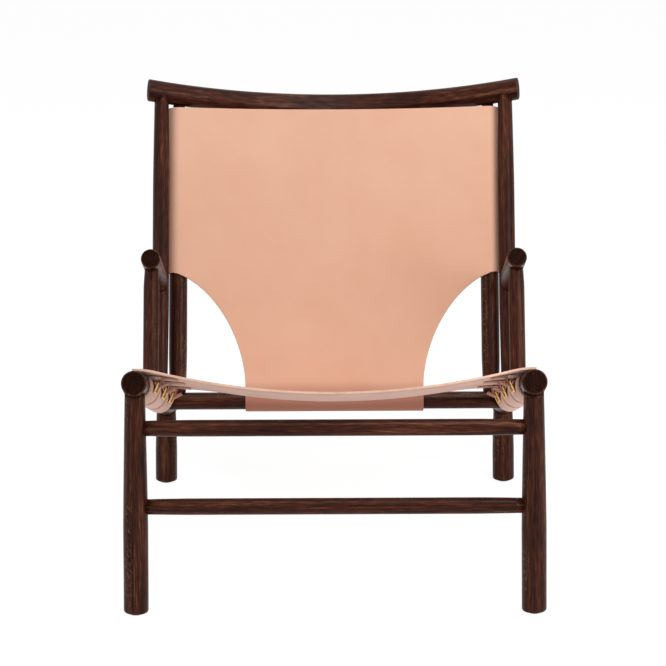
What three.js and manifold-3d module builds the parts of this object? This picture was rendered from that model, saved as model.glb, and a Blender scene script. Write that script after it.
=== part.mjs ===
// Sling lounge chair: a turned hardwood frame with a seat and a back of saddle leather
// Millimetres, +Z up, +Y to the back, the origin at the bottom centre of the chair's box
import * as THREE from "three";
import { mergeVertices } from "three/addons/utils/BufferGeometryUtils.js";
import Module from "manifold-3d";

const wasm = await Module();
wasm.setup();
const rad = THREE.MathUtils.degToRad;

// Clearance between touching pieces, and how finely round work is drawn
const FIT = 0.3;
const ROUND_SIDES = 16;
const PIN_SIDES = 12;
const TAPER_STEPS = 2;
const TAPER_POWER = 1.2;
const TAPER_LIMIT = 0.45;
const EDGE_ROOM = 4;
const WELD = 1e-4;

// Seat rails, which slope down to the back and set the slanted plane of the seat
const RAIL_RADIUS = 20;
const RAIL_HALF_SPACING = 312.5;
const RAIL_LENGTH = 750;
const RAIL_FRONT_HEIGHT = 390.5;
const RAIL_SLOPE = rad(19.5);
const RAIL_EDGE = 2.5;

// Places along a rail, measured from its front end, each set from its neighbour
const FRONT_LEG_STATION = 22;
const REAR_LEG_INSET = 28;
const CROSS_RAIL_TO_REAR_LEG = 130;
const BACK_POST_TO_CROSS_RAIL = 26;
const ARM_POST_TO_BACK_POST = 220;
const REAR_LEG_STATION = RAIL_LENGTH - REAR_LEG_INSET;
const CROSS_RAIL_STATION = REAR_LEG_STATION - CROSS_RAIL_TO_REAR_LEG;
const BACK_POST_STATION = CROSS_RAIL_STATION - BACK_POST_TO_CROSS_RAIL;
const ARM_POST_STATION = BACK_POST_STATION - ARM_POST_TO_BACK_POST;

// Legs
const LEG_RADIUS = 20;
const FRONT_LEG_TOP_RADIUS = 15.7;
const REAR_LEG_TOP_RADIUS = 17.5;
const FRONT_LEG_TAPER = 240;
const REAR_LEG_TAPER = 90;
const LEG_SPLAY = rad(1.1);
const FOOT_EDGE = 3;
const GLIDE_RADIUS = 12;
const GLIDE_THICKNESS = 2.5;
const GLIDE_PIN_RADIUS = 2.5;
const GLIDE_PIN_LENGTH = 14;

// Stretchers between the front legs
const STRETCHER_RADIUS = 13.2;
const STRETCHER_END_RADIUS = 12;
const STRETCHER_TAPER = 90;
const STRETCHER_UPPER_HEIGHT = 310.5;
const STRETCHER_LOWER_HEIGHT = 180;

// Cross rail at the foot of the back
const CROSS_RAIL_RADIUS = 15.5;
const CROSS_RAIL_END_RADIUS = 17;
const CROSS_RAIL_TAPER = 150;

// Arms and their posts
const ARM_RADIUS = 16.7;
const ARM_REAR_RADIUS = 12.5;
const ARM_TAPER = 90;
const ARM_INSET = 1.5;
const ARM_HALF_SPACING = RAIL_HALF_SPACING - ARM_INSET;
const ARM_HEIGHT = 227;
const ARM_OVERHANG = 27;
const ARM_DROP = rad(5);
const ARM_EDGE = 2.2;
const ARM_POST_RADIUS = 13.5;
const ARM_POST_FOOT_RADIUS = 12.5;
const ARM_POST_TOP_RADIUS = 10.7;
const ARM_POST_TAPER = 45;

// Back posts, and the inner uprights that carry the leather
const BACK_RECLINE = rad(22.6);
const BACK_POST_RADIUS = 15;
const BACK_POST_END_RADIUS = 12.7;
const BACK_POST_TAPER = 170;
const UPRIGHT_INSET = 30;
const UPRIGHT_HALF_SPACING = RAIL_HALF_SPACING - UPRIGHT_INSET;
const UPRIGHT_RADIUS = 16.4;
const UPRIGHT_FOOT_RADIUS = 14;
const UPRIGHT_TOP_RADIUS = 9;
const UPRIGHT_FOOT_TAPER = 80;
const UPRIGHT_TOP_TAPER = 110;

// Crest rail, bowed to the back, with a flat facet in front
const CREST_RADIUS = 20;
const CREST_OVERHANG = 24.5;
const CREST_HALF_LENGTH = RAIL_HALF_SPACING + CREST_OVERHANG;
const CREST_BOW = 80;
const CREST_BOW_TILT = rad(31);
const CREST_UP = 566;
const CREST_END_TURN = rad(11);
const CREST_STEPS = 14;
const FACET_DEPTH = 5.5;
const FACET_INSET = 99;
const FACET_HALF_LENGTH = CREST_HALF_LENGTH - FACET_INSET;
const CUTTER_SIZE = 4 * CREST_RADIUS;

// Turned tenons
const TENON_SHARE = 0.62;
const TENON_PAST_AXIS = 5;
const TENON_ROOT = 9;

// Leather
const SHEET = 3.4;
const SKIVE = 0.2;
const SEAT_FRONT_STATION = 12;
const SEAT_TO_CROSS_RAIL = 46;
const SEAT_LENGTH = CROSS_RAIL_STATION - SEAT_TO_CROSS_RAIL - SEAT_FRONT_STATION;
const SEAT_ROLL_FRONT = 140;
const SEAT_ROLL_REAR = 800;
const SEAT_DROP_FRONT = rad(13.5);
const SEAT_DROP_REAR = rad(8.8);
const SEAT_LAP = rad(10);
const SEAT_ROWS = 6;
const LAP_STEPS = 2;
const ROLL_STEPS = 3;
const HANG_STEPS = 12;
const HOLE_ROOM = 0.8;
const TAB_WIDTH = 144;
const TAB_COUNT = 3;
const TAB_TO_FRONT = 121;
const TAB_TO_REAR = 73;
const TAB_FIRST_STATION = SEAT_FRONT_STATION + TAB_TO_FRONT;
const TAB_PITCH = (SEAT_LENGTH - TAB_TO_FRONT - TAB_TO_REAR) / (TAB_COUNT - 1);
const TAB_ARC_STEPS = 15;
const TAB_LAP_SHARE = 0.25;
const STRAP_WIDTH = 44;
const STRAP_LEAVE = rad(-24);
const EAR_END = rad(30);
const EAR_ROOM = 1;
const STRAP_ROOT = rad(14);
const STRAP_END = 2.5;

// Buckles
const BUCKLE_BAR = 3.4;
const BUCKLE_DROP = 17;
const BUCKLE_SIDE_ROOM = 1.2;
const BUCKLE_CORNER = 3.6;
const BUCKLE_CORNER_STEPS = 2;
const BUCKLE_RUN = 1;
const PRONG_WALL = 1.5;
const PRONG_WIDTH = 5;
const PRONG_THICKNESS = 2;
const PRONG_SLOT_ROOM = 1.2;
const PRONG_OVERHANG = 1.6;
const PRONG_SWING = rad(45);
const CHAPE = 2;
const CHAPE_FLANGE = 26;
const CHAPE_SET = 3;
const CHAPE_ROOM = 0.3;
const CHAPE_STEPS = 3;

// Back leather
const BACK_SAG = 24;
const BACK_TOP_GAP = 29.5;
const BACK_TOP = CREST_UP - BACK_TOP_GAP;
const BACK_CORNER = 233;
const BACK_NECK = 26;
const TONGUE_INSET = 122.5;
const TONGUE_HALF_WIDTH = UPRIGHT_HALF_SPACING - TONGUE_INSET;
const CUTOUT_POWER = 1.76;
const CUTOUT_STEPS = 8;
const BACK_ROWS = 6;
const BACK_COLUMNS = 12;
const SLEEVE_LAP = 2;
const SLEEVE_SLACK = 0.2;

// Frames of the slanted seat and of the back, both in the chair's own axes
const DECK = new THREE.Matrix4().makeRotationX(-RAIL_SLOPE).setPosition(0, 0, RAIL_FRONT_HEIGHT);
const LEAN = BACK_RECLINE - RAIL_SLOPE;
const BACK_IN_DECK = new THREE.Matrix4().makeRotationX(-LEAN).setPosition(0, CROSS_RAIL_STATION, 0);
const BACK = DECK.clone().multiply(BACK_IN_DECK);
const SIDES = [["left", -1], ["right", 1]];

function deckPoint(x, along, up) {
  return new THREE.Vector3(x, along, up).applyMatrix4(DECK);
}

function backPoint(x, behind, up) {
  return new THREE.Vector3(x, behind, up).applyMatrix4(BACK);
}

// Solids and geometry
function solidOf(geometry, matrix) {
  const bare = geometry.index ? geometry.toNonIndexed() : geometry.clone();
  bare.deleteAttribute("normal");
  bare.deleteAttribute("uv");
  if (matrix) {
    bare.applyMatrix4(matrix);
  }
  const merged = mergeVertices(bare, WELD);
  const corners = merged.index.array;
  const kept = [];
  for (let i = 0; i < corners.length; i += 3) {
    const [a, b, c] = corners.slice(i, i + 3);
    if (a !== b && b !== c && c !== a) {
      kept.push(a, b, c);
    }
  }
  const mesh = new wasm.Mesh({
    numProp: 3,
    vertProperties: merged.attributes.position.array,
    triVerts: new Uint32Array(kept),
  });
  return new wasm.Manifold(mesh);
}

function geometryOf(solid) {
  const mesh = solid.getMesh();
  const geometry = new THREE.BufferGeometry();
  geometry.setAttribute("position", new THREE.BufferAttribute(new Float32Array(mesh.vertProperties), 3));
  geometry.setIndex(new THREE.BufferAttribute(new Uint32Array(mesh.triVerts), 1));
  geometry.computeVertexNormals();
  return geometry;
}

function turned(outline, extra = 0, sides = ROUND_SIDES) {
  const points = outline.map(([radius, height]) => new THREE.Vector2(radius + extra, height));
  const first = new THREE.Vector2(0, outline[0][1]);
  const last = new THREE.Vector2(0, outline[outline.length - 1][1]);
  return new THREE.LatheGeometry([first, ...points, last], sides).rotateX(Math.PI / 2);
}

function aimed(from, to) {
  const along = to.clone().sub(from).normalize();
  const turn = new THREE.Quaternion().setFromUnitVectors(new THREE.Vector3(0, 0, 1), along);
  return new THREE.Matrix4().compose(from, turn, new THREE.Vector3(1, 1, 1));
}

function pin(from, to, radius, sides = PIN_SIDES) {
  const length = from.distanceTo(to);
  return solidOf(turned([[radius, 0], [radius, length]], 0, sides), aimed(from, to));
}

// A turned stick from one point to another, with the outline that a function gives for its length
function stick(from, to, outlineFor) {
  const outline = outlineFor(from.distanceTo(to));
  const matrix = aimed(from, to);
  return {
    from,
    to,
    matrix,
    along: to.clone().sub(from).normalize(),
    reach: Math.max(...outline.map(([radius]) => radius)),
    solid: solidOf(turned(outline), matrix),
    cope: solidOf(turned(outline, FIT), matrix),
  };
}

function plain(radius, edge) {
  return (length) => [[radius - edge, 0], [radius, edge], [radius, length - edge], [radius - edge, length]];
}

// Radius at a share of a taper, from the narrow end to the full stick
function eased(narrow, full, share) {
  return narrow + (full - narrow) * (1 - (1 - share) ** TAPER_POWER);
}

function bellied(foot, belly, top, footTaper, topTaper) {
  return (length) => {
    const outline = [];
    const footRun = Math.min(footTaper, length * TAPER_LIMIT);
    const topRun = Math.min(topTaper, length * TAPER_LIMIT);
    for (let i = 0; i <= TAPER_STEPS; i += 1) {
      const share = i / TAPER_STEPS;
      outline.push([eased(foot, belly, share), footRun * share]);
    }
    for (let i = TAPER_STEPS; i >= 0; i -= 1) {
      const share = i / TAPER_STEPS;
      outline.push([eased(top, belly, share), length - topRun * share]);
    }
    return outline;
  };
}

// Legs and arms: one end keeps the full radius with an eased edge, the other end tapers
function tapered(full, edge, narrow, taper) {
  return (length) => {
    const outline = [[full - edge, 0], [full, edge]];
    const run = Math.min(taper, length - EDGE_ROOM * edge);
    for (let i = TAPER_STEPS; i >= 0; i -= 1) {
      const share = i / TAPER_STEPS;
      outline.push([eased(narrow, full, share), length - run * share]);
    }
    return outline;
  };
}

// Fits the end of one stick to the side of another: a coped shoulder, a tenon and its socket
function join(entering, end, host, endRadius) {
  const tip = entering[end];
  const inward = entering.along.clone().multiplyScalar(end === "to" ? -1 : 1);
  const root = tip.clone().addScaledVector(inward, host.reach + TENON_ROOT);
  const head = tip.clone().addScaledVector(inward, -TENON_PAST_AXIS);
  const bottom = head.clone().addScaledVector(inward, -FIT);
  const radius = endRadius * TENON_SHARE;
  entering.solid = entering.solid.subtract(host.cope).add(pin(root, head, radius));
  host.solid = host.solid.subtract(pin(root, bottom, radius + FIT));
}

// Where two lines of the side view meet: each is a point and a direction
function crossing([px, py], [dx, dy], [qx, qy], [ex, ey]) {
  const share = ((qx - px) * ey - (qy - py) * ex) / (dx * ey - dy * ex);
  return [px + dx * share, py + dy * share];
}

// A band of even thickness along a path of [x, y] points, as a closed outline
function band(path, thickness) {
  const half = thickness / 2;
  const near = [];
  const far = [];
  path.forEach((point, i) => {
    const here = new THREE.Vector2(...point);
    const before = i > 0 ? here.clone().sub(new THREE.Vector2(...path[i - 1])).normalize() : null;
    const after = i < path.length - 1 ? new THREE.Vector2(...path[i + 1]).sub(here).normalize() : null;
    const heading = new THREE.Vector2();
    [before, after].filter(Boolean).forEach((step) => heading.add(step));
    heading.normalize();
    const miter = half / heading.dot(after ?? before);
    const across = new THREE.Vector2(-heading.y, heading.x).multiplyScalar(miter);
    near.push(here.clone().add(across));
    far.push(here.clone().sub(across));
  });
  return new THREE.Shape([...near, ...far.reverse()]);
}

// Extrudes a cross-section drawn about a rail's axis along it, from one station over a width
function alongRail(shape, station, width, axisX = 0) {
  const geometry = new THREE.ExtrudeGeometry(shape, { depth: width, bevelEnabled: false });
  return solidOf(geometry.rotateX(Math.PI / 2).translate(axisX, station + width, 0));
}

// A sheet of even thickness on a grid of points of its middle surface
function slab(grid, thickness) {
  const rows = grid.length;
  const columns = grid[0].length;
  const places = [];
  for (const half of [-thickness / 2, thickness / 2]) {
    for (let i = 0; i < rows; i += 1) {
      for (let j = 0; j < columns; j += 1) {
        const down = grid[Math.min(i + 1, rows - 1)][j].clone().sub(grid[Math.max(i - 1, 0)][j]);
        const across = grid[i][Math.min(j + 1, columns - 1)].clone().sub(grid[i][Math.max(j - 1, 0)]);
        const normal = down.cross(across).normalize();
        places.push(...grid[i][j].clone().addScaledVector(normal, half).toArray());
      }
    }
  }
  const corners = [];
  const quad = (a, b, c, d) => corners.push(a, b, c, a, c, d);
  const at = (layer, i, j) => (layer * rows + i) * columns + j;
  const endRow = rows - 1;
  const endColumn = columns - 1;
  for (let i = 0; i < endRow; i += 1) {
    for (let j = 0; j < endColumn; j += 1) {
      quad(at(1, i, j), at(1, i + 1, j), at(1, i + 1, j + 1), at(1, i, j + 1));
      quad(at(0, i, j), at(0, i, j + 1), at(0, i + 1, j + 1), at(0, i + 1, j));
    }
    quad(at(0, i, 0), at(0, i + 1, 0), at(1, i + 1, 0), at(1, i, 0));
    quad(at(0, i, endColumn), at(1, i, endColumn), at(1, i + 1, endColumn), at(0, i + 1, endColumn));
  }
  for (let j = 0; j < endColumn; j += 1) {
    quad(at(0, 0, j), at(1, 0, j), at(1, 0, j + 1), at(0, 0, j + 1));
    quad(at(0, endRow, j), at(0, endRow, j + 1), at(1, endRow, j + 1), at(1, endRow, j));
  }
  const geometry = new THREE.BufferGeometry();
  geometry.setAttribute("position", new THREE.Float32BufferAttribute(places, 3));
  geometry.setIndex(corners);
  return solidOf(geometry);
}

function arcPath(radius, start, end, steps) {
  const path = [];
  for (let i = 0; i <= steps; i += 1) {
    const angle = start + ((end - start) * i) / steps;
    path.push([radius * Math.cos(angle), radius * Math.sin(angle)]);
  }
  return path;
}

// Frame of the chair
const frame = {};

for (const [name, side] of SIDES) {
  const railX = side * RAIL_HALF_SPACING;
  const rail = stick(deckPoint(railX, 0, 0), deckPoint(railX, RAIL_LENGTH, 0), plain(RAIL_RADIUS, RAIL_EDGE));
  frame[`seat_rail_${name}`] = rail;

  const legs = [
    ["front", FRONT_LEG_STATION, FRONT_LEG_TOP_RADIUS, FRONT_LEG_TAPER],
    ["rear", REAR_LEG_STATION, REAR_LEG_TOP_RADIUS, REAR_LEG_TAPER],
  ];
  for (const [place, station, topRadius, taper] of legs) {
    const top = deckPoint(railX, station, 0);
    const lift = GLIDE_THICKNESS + FIT + GLIDE_RADIUS * Math.sin(LEG_SPLAY);
    const splay = side * (top.z - lift) * Math.tan(LEG_SPLAY);
    const foot = new THREE.Vector3(top.x + splay, top.y, lift);
    const leg = stick(foot, top, tapered(LEG_RADIUS, FOOT_EDGE, topRadius, taper));
    join(leg, "to", rail, topRadius);
    frame[`${place}_leg_${name}`] = leg;

    const floor = new THREE.Vector3(foot.x, foot.y, 0);
    const disc = floor.clone().setZ(GLIDE_THICKNESS);
    const pinTop = floor.clone().setZ(GLIDE_THICKNESS + GLIDE_PIN_LENGTH);
    const pinFoot = floor.clone().setZ(GLIDE_THICKNESS / 2);
    const bore = pinTop.clone().setZ(pinTop.z + FIT);
    const glide = pin(floor, disc, GLIDE_RADIUS).add(pin(pinFoot, pinTop, GLIDE_PIN_RADIUS));
    leg.solid = leg.solid.subtract(pin(pinFoot, bore, GLIDE_PIN_RADIUS + FIT));
    frame[`glide_${place}_${name}`] = { solid: glide, matrix: new THREE.Matrix4().setPosition(floor) };
  }
}

// Points of a front leg's axis at a height
function legPoint(leg, height) {
  const share = (height - leg.from.z) / (leg.to.z - leg.from.z);
  return leg.from.clone().lerp(leg.to, share);
}

for (const [name, height] of [["upper", STRETCHER_UPPER_HEIGHT], ["lower", STRETCHER_LOWER_HEIGHT]]) {
  const outline = bellied(
    STRETCHER_END_RADIUS, STRETCHER_RADIUS, STRETCHER_END_RADIUS, STRETCHER_TAPER, STRETCHER_TAPER);
  const { front_leg_left: left, front_leg_right: right } = frame;
  const stretcher = stick(legPoint(left, height), legPoint(right, height), outline);
  join(stretcher, "from", left, STRETCHER_END_RADIUS);
  join(stretcher, "to", right, STRETCHER_END_RADIUS);
  frame[`front_stretcher_${name}`] = stretcher;
}

const crossRail = stick(
  deckPoint(-RAIL_HALF_SPACING, CROSS_RAIL_STATION, 0),
  deckPoint(RAIL_HALF_SPACING, CROSS_RAIL_STATION, 0),
  bellied(CROSS_RAIL_END_RADIUS, CROSS_RAIL_RADIUS, CROSS_RAIL_END_RADIUS, CROSS_RAIL_TAPER, CROSS_RAIL_TAPER));
join(crossRail, "from", frame.seat_rail_left, CROSS_RAIL_END_RADIUS);
join(crossRail, "to", frame.seat_rail_right, CROSS_RAIL_END_RADIUS);
frame.rear_cross_rail = crossRail;

// Crest rail, in a frame whose Y runs along the bow
const BOW_RADIUS = (CREST_HALF_LENGTH ** 2 + CREST_BOW ** 2) / (2 * CREST_BOW);

function bowAt(x) {
  return CREST_BOW - BOW_RADIUS + Math.sqrt(BOW_RADIUS ** 2 - x ** 2);
}

const BOW_DIP = CREST_BOW_TILT - BACK_RECLINE;
const postBehind = backPoint(0, 0, 0).sub(deckPoint(0, BACK_POST_STATION, 0)).length() * -Math.cos(LEAN);
const postRow = postBehind - bowAt(RAIL_HALF_SPACING) * Math.cos(BOW_DIP);
const uprightRow = -bowAt(UPRIGHT_HALF_SPACING) * Math.cos(BOW_DIP);
const crestBehind = (postRow + uprightRow) / 2;
const CREST = BACK.clone()
  .multiply(new THREE.Matrix4().makeRotationX(-BOW_DIP).setPosition(0, crestBehind, CREST_UP));

function crestSweep(radius) {
  const reach = CREST_HALF_LENGTH + CREST_RADIUS;
  const points = [];
  for (let i = 0; i <= CREST_STEPS; i += 1) {
    const x = reach * ((2 * i) / CREST_STEPS - 1);
    points.push(new THREE.Vector3(x, bowAt(x), 0));
  }
  const ring = arcPath(radius, 0, 2 * Math.PI, ROUND_SIDES).slice(0, ROUND_SIDES);
  const section = new THREE.Shape(ring.map(([x, y]) => new THREE.Vector2(x, y)));
  const extrudePath = new THREE.CatmullRomCurve3(points);
  return solidOf(new THREE.ExtrudeGeometry(section, { steps: CREST_STEPS, extrudePath }), CREST);
}

function crestFacet() {
  const front = -CREST_RADIUS + bowAt(0) + FACET_DEPTH;
  const fall = (FACET_DEPTH + bowAt(0) - bowAt(FACET_HALF_LENGTH)) / FACET_HALF_LENGTH ** 2;
  const path = [];
  for (let i = 0; i <= CREST_STEPS; i += 1) {
    const x = CREST_HALF_LENGTH * ((2 * i) / CREST_STEPS - 1);
    path.push(new THREE.Vector2(x, front - fall * x ** 2));
  }
  const clear = -2 * (CREST_BOW + CREST_RADIUS);
  path.push(new THREE.Vector2(CREST_HALF_LENGTH, clear), new THREE.Vector2(-CREST_HALF_LENGTH, clear));
  const depth = CUTTER_SIZE;
  const geometry = new THREE.ExtrudeGeometry(new THREE.Shape(path), { depth, bevelEnabled: false });
  return solidOf(geometry.translate(0, 0, -depth / 2), CREST);
}

function crestEnd(side) {
  const size = CUTTER_SIZE;
  const block = new THREE.BoxGeometry(size, size, size).translate(side * (size / 2), 0, 0);
  block.rotateZ(-side * CREST_END_TURN).translate(side * CREST_HALF_LENGTH, 0, 0);
  return solidOf(block, CREST);
}

const crest = {
  matrix: CREST,
  reach: CREST_RADIUS,
  solid: crestSweep(CREST_RADIUS).subtract(crestFacet()).subtract(crestEnd(-1)).subtract(crestEnd(1)),
  cope: crestSweep(CREST_RADIUS + FIT),
};
frame.crest_rail = crest;

// Arms, back posts and uprights
for (const [name, side] of SIDES) {
  const rail = frame[`seat_rail_${name}`];
  const railX = side * RAIL_HALF_SPACING;

  const postTop = CREST_UP - bowAt(RAIL_HALF_SPACING) * Math.sin(BOW_DIP);
  const backPost = stick(
    deckPoint(railX, BACK_POST_STATION, 0),
    backPoint(railX, postBehind, postTop),
    bellied(BACK_POST_END_RADIUS, BACK_POST_RADIUS, BACK_POST_END_RADIUS, BACK_POST_TAPER, BACK_POST_TAPER));
  join(backPost, "from", rail, BACK_POST_END_RADIUS);
  join(backPost, "to", crest, BACK_POST_END_RADIUS);
  frame[`back_post_${name}`] = backPost;

  const slant = [Math.cos(ARM_DROP), -Math.sin(ARM_DROP)];
  const seat = [ARM_POST_STATION, ARM_HEIGHT];
  const rear = crossing(seat, slant, [BACK_POST_STATION, 0], [Math.sin(LEAN), Math.cos(LEAN)]);
  const front = [seat[0] - ARM_OVERHANG * slant[0], seat[1] - ARM_OVERHANG * slant[1]];
  const armFront = deckPoint(side * ARM_HALF_SPACING, ...front);
  const armRear = deckPoint(railX, ...rear);
  const arm = stick(armFront, armRear, tapered(ARM_RADIUS, ARM_EDGE, ARM_REAR_RADIUS, ARM_TAPER));
  join(arm, "to", backPost, ARM_REAR_RADIUS);
  frame[`arm_${name}`] = arm;

  const armPost = stick(
    deckPoint(railX, ARM_POST_STATION, 0),
    armFront.clone().addScaledVector(arm.along, ARM_OVERHANG),
    bellied(ARM_POST_FOOT_RADIUS, ARM_POST_RADIUS, ARM_POST_TOP_RADIUS, ARM_POST_TAPER, ARM_POST_TAPER));
  join(armPost, "from", rail, ARM_POST_FOOT_RADIUS);
  join(armPost, "to", arm, ARM_POST_TOP_RADIUS);
  frame[`arm_post_${name}`] = armPost;

  const uprightX = side * UPRIGHT_HALF_SPACING;
  const uprightTop = CREST_UP - bowAt(UPRIGHT_HALF_SPACING) * Math.sin(BOW_DIP);
  const upright = stick(
    backPoint(uprightX, 0, 0),
    backPoint(uprightX, 0, uprightTop),
    bellied(UPRIGHT_FOOT_RADIUS, UPRIGHT_RADIUS, UPRIGHT_TOP_RADIUS, UPRIGHT_FOOT_TAPER, UPRIGHT_TOP_TAPER));
  join(upright, "from", crossRail, UPRIGHT_FOOT_RADIUS);
  join(upright, "to", crest, UPRIGHT_TOP_RADIUS);
  frame[`sling_upright_${name}`] = upright;
}

// Seat leather: the panel laps the rails, rolls off them and hangs, deeper in front than at the back
const LAP_RADIUS = RAIL_RADIUS + FIT + SHEET / 2;

// Half of the panel's section at a station: where it starts to hang, and the curve of its hanging part
function hangAt(station) {
  const share = (station - SEAT_FRONT_STATION) / SEAT_LENGTH;
  const drop = SEAT_DROP_FRONT + (SEAT_DROP_REAR - SEAT_DROP_FRONT) * share;
  const roll = SEAT_ROLL_FRONT + (SEAT_ROLL_REAR - SEAT_ROLL_FRONT) * share;
  const x = RAIL_HALF_SPACING - roll * Math.sin(drop);
  const up = LAP_RADIUS - roll * (1 - Math.cos(drop));
  return { drop, roll, x, up, curve: Math.tan(drop) / (2 * x) };
}

function seatUp(x, station) {
  const hang = hangAt(station);
  const inward = RAIL_HALF_SPACING - Math.abs(x);
  if (Math.abs(x) > hang.x) {
    return LAP_RADIUS - hang.roll + Math.sqrt(hang.roll ** 2 - inward ** 2);
  }
  return hang.up - hang.curve * (hang.x ** 2 - x ** 2);
}

function seatRow(station) {
  const lap = arcPath(LAP_RADIUS, Math.PI / 2 + SEAT_LAP, Math.PI / 2, LAP_STEPS);
  const left = lap.map(([x, up]) => [x - RAIL_HALF_SPACING, up]);
  const hang = hangAt(station);
  for (let i = 1; i <= ROLL_STEPS; i += 1) {
    const x = hang.roll * Math.sin((hang.drop * i) / ROLL_STEPS) - RAIL_HALF_SPACING;
    left.push([x, seatUp(x, station)]);
  }
  const middle = [];
  for (let i = 1; i < HANG_STEPS; i += 1) {
    const x = hang.x * ((2 * i) / HANG_STEPS - 1);
    middle.push([x, seatUp(x, station)]);
  }
  const right = left.map(([x, up]) => [-x, up]).reverse();
  return [...left, ...middle, ...right].map(([x, up]) => new THREE.Vector3(x, station, up));
}

function seatPanel() {
  const grid = [];
  for (let i = 0; i <= SEAT_ROWS; i += 1) {
    grid.push(seatRow(SEAT_FRONT_STATION + (SEAT_LENGTH * i) / SEAT_ROWS));
  }
  return slab(grid, SHEET);
}

// Buckle plane: one axis runs up the strap from where it leaves the rail, the other away from the rail
const STRAP = SHEET - 4 * SKIVE;
const TAB = SHEET - 2 * SKIVE;
const RUN = [-Math.sin(STRAP_LEAVE), Math.cos(STRAP_LEAVE)];
const OUT = [Math.cos(STRAP_LEAVE), Math.sin(STRAP_LEAVE)];

function strapPoint(run, out) {
  const leave = LAP_RADIUS + out;
  return [leave * OUT[0] + run * RUN[0], leave * OUT[1] + run * RUN[1]];
}

const barHalf = BUCKLE_BAR / 2;
const frameOut = STRAP / 2 + FIT + barHalf;
const farRun = barHalf + BUCKLE_RUN;
const heelRun = farRun + BUCKLE_DROP;
const eyeBore = barHalf * Math.SQRT2 + FIT;
const eyeRadius = eyeBore + PRONG_WALL;
const loopRadius = eyeBore + CHAPE;
const bendRun = farRun + barHalf + BUCKLE_RUN;
const heelReach = Math.hypot(heelRun - bendRun, frameOut);
const bendRise = Math.asin((loopRadius + 2 * FIT + STRAP / 2) / heelReach);
const bend = Math.atan2(frameOut, heelRun - bendRun) + bendRise;
const slotWidth = PRONG_WIDTH + 2 * PRONG_SLOT_ROOM;

// The slot ends where the strap meets the outer face of the prong at the top of its swing
const prongOuter = barHalf + FIT + PRONG_THICKNESS;
const swungRun = heelRun + prongOuter * Math.sin(PRONG_SWING);
const swungOut = frameOut + prongOuter * Math.cos(PRONG_SWING);
const swungRise = (swungRun - bendRun) * Math.tan(bend) - swungOut;
const swungReach = swungRise / (Math.sin(PRONG_SWING) + Math.tan(bend) * Math.cos(PRONG_SWING));
const slotEnd = swungRun - swungReach * Math.cos(PRONG_SWING) + STRAP / 2 + 2 * PRONG_SLOT_ROOM;
const tailRun = slotEnd + STRAP_END;

function strapAt(run) {
  return strapPoint(run, (run - bendRun) * Math.tan(bend));
}

// Section points are drawn for the left rail and turned over for the right one
function flipped(path, side) {
  return path.map(([x, up]) => [-side * x, up]);
}

// A tab goes round the rail to two ears, with its strap in the window between them
function strapTab(side, station) {
  const wrapStart = Math.PI / 2 + SEAT_LAP * TAB_LAP_SHARE;
  const wrapEnd = 2 * Math.PI + EAR_END;
  const wrap = arcPath(LAP_RADIUS, wrapStart, wrapEnd, TAB_ARC_STEPS);
  const railX = side * RAIL_HALF_SPACING;
  const tab = alongRail(band(flipped(wrap, side), TAB), station - TAB_WIDTH / 2, TAB_WIDTH, railX);
  const open = arcPath(LAP_RADIUS, STRAP_LEAVE, EAR_END + STRAP_ROOT, TAB_ARC_STEPS);
  const openWidth = STRAP_WIDTH + 2 * (BUCKLE_SIDE_ROOM + BUCKLE_BAR + EAR_ROOM);
  const window = alongRail(band(flipped(open, side), 2 * TAB), station - openWidth / 2, openWidth, railX);
  const root = arcPath(LAP_RADIUS, STRAP_LEAVE - STRAP_ROOT, STRAP_LEAVE, LAP_STEPS);
  const path = [...root, strapPoint(bendRun, 0), strapAt(tailRun)];
  const strap = alongRail(band(flipped(path, side), STRAP), station - STRAP_WIDTH / 2, STRAP_WIDTH, railX);
  const slotStart = farRun + barHalf + 2 * BUCKLE_RUN + STRAP;
  const slotPath = flipped([strapAt(slotStart), strapAt(slotEnd)], side);
  const slot = alongRail(band(slotPath, 2 * STRAP), station - slotWidth / 2, slotWidth, railX);
  return tab.subtract(window).add(strap.subtract(slot));
}

const stations = [];
for (let i = 0; i < TAB_COUNT; i += 1) {
  stations.push(TAB_FIRST_STATION + TAB_PITCH * i);
}

// The arm posts stand in round holes of the leather
function postHole(side) {
  const foot = new THREE.Vector3(side * RAIL_HALF_SPACING, ARM_POST_STATION, 0);
  const top = foot.clone().setZ(2 * LAP_RADIUS);
  return pin(foot, top, ARM_POST_RADIUS + HOLE_ROOM);
}

let seatSling = seatPanel();
for (const [, side] of SIDES) {
  for (const station of stations) {
    seatSling = seatSling.add(strapTab(side, station));
  }
  seatSling = seatSling.subtract(postHole(side));
}

// Buckle pieces, drawn about the rail's axis at one tab
const heel = strapPoint(heelRun, frameOut);

function rounded(width, height, corner) {
  const shape = new THREE.Path();
  const right = width / 2;
  const top = height / 2;
  shape.absarc(right - corner, top - corner, corner, 0, Math.PI / 2);
  shape.absarc(corner - right, top - corner, corner, Math.PI / 2, Math.PI);
  shape.absarc(corner - right, corner - top, corner, Math.PI, 1.5 * Math.PI);
  shape.absarc(right - corner, corner - top, corner, 1.5 * Math.PI, 2 * Math.PI);
  return shape.getPoints(BUCKLE_CORNER_STEPS);
}

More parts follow.
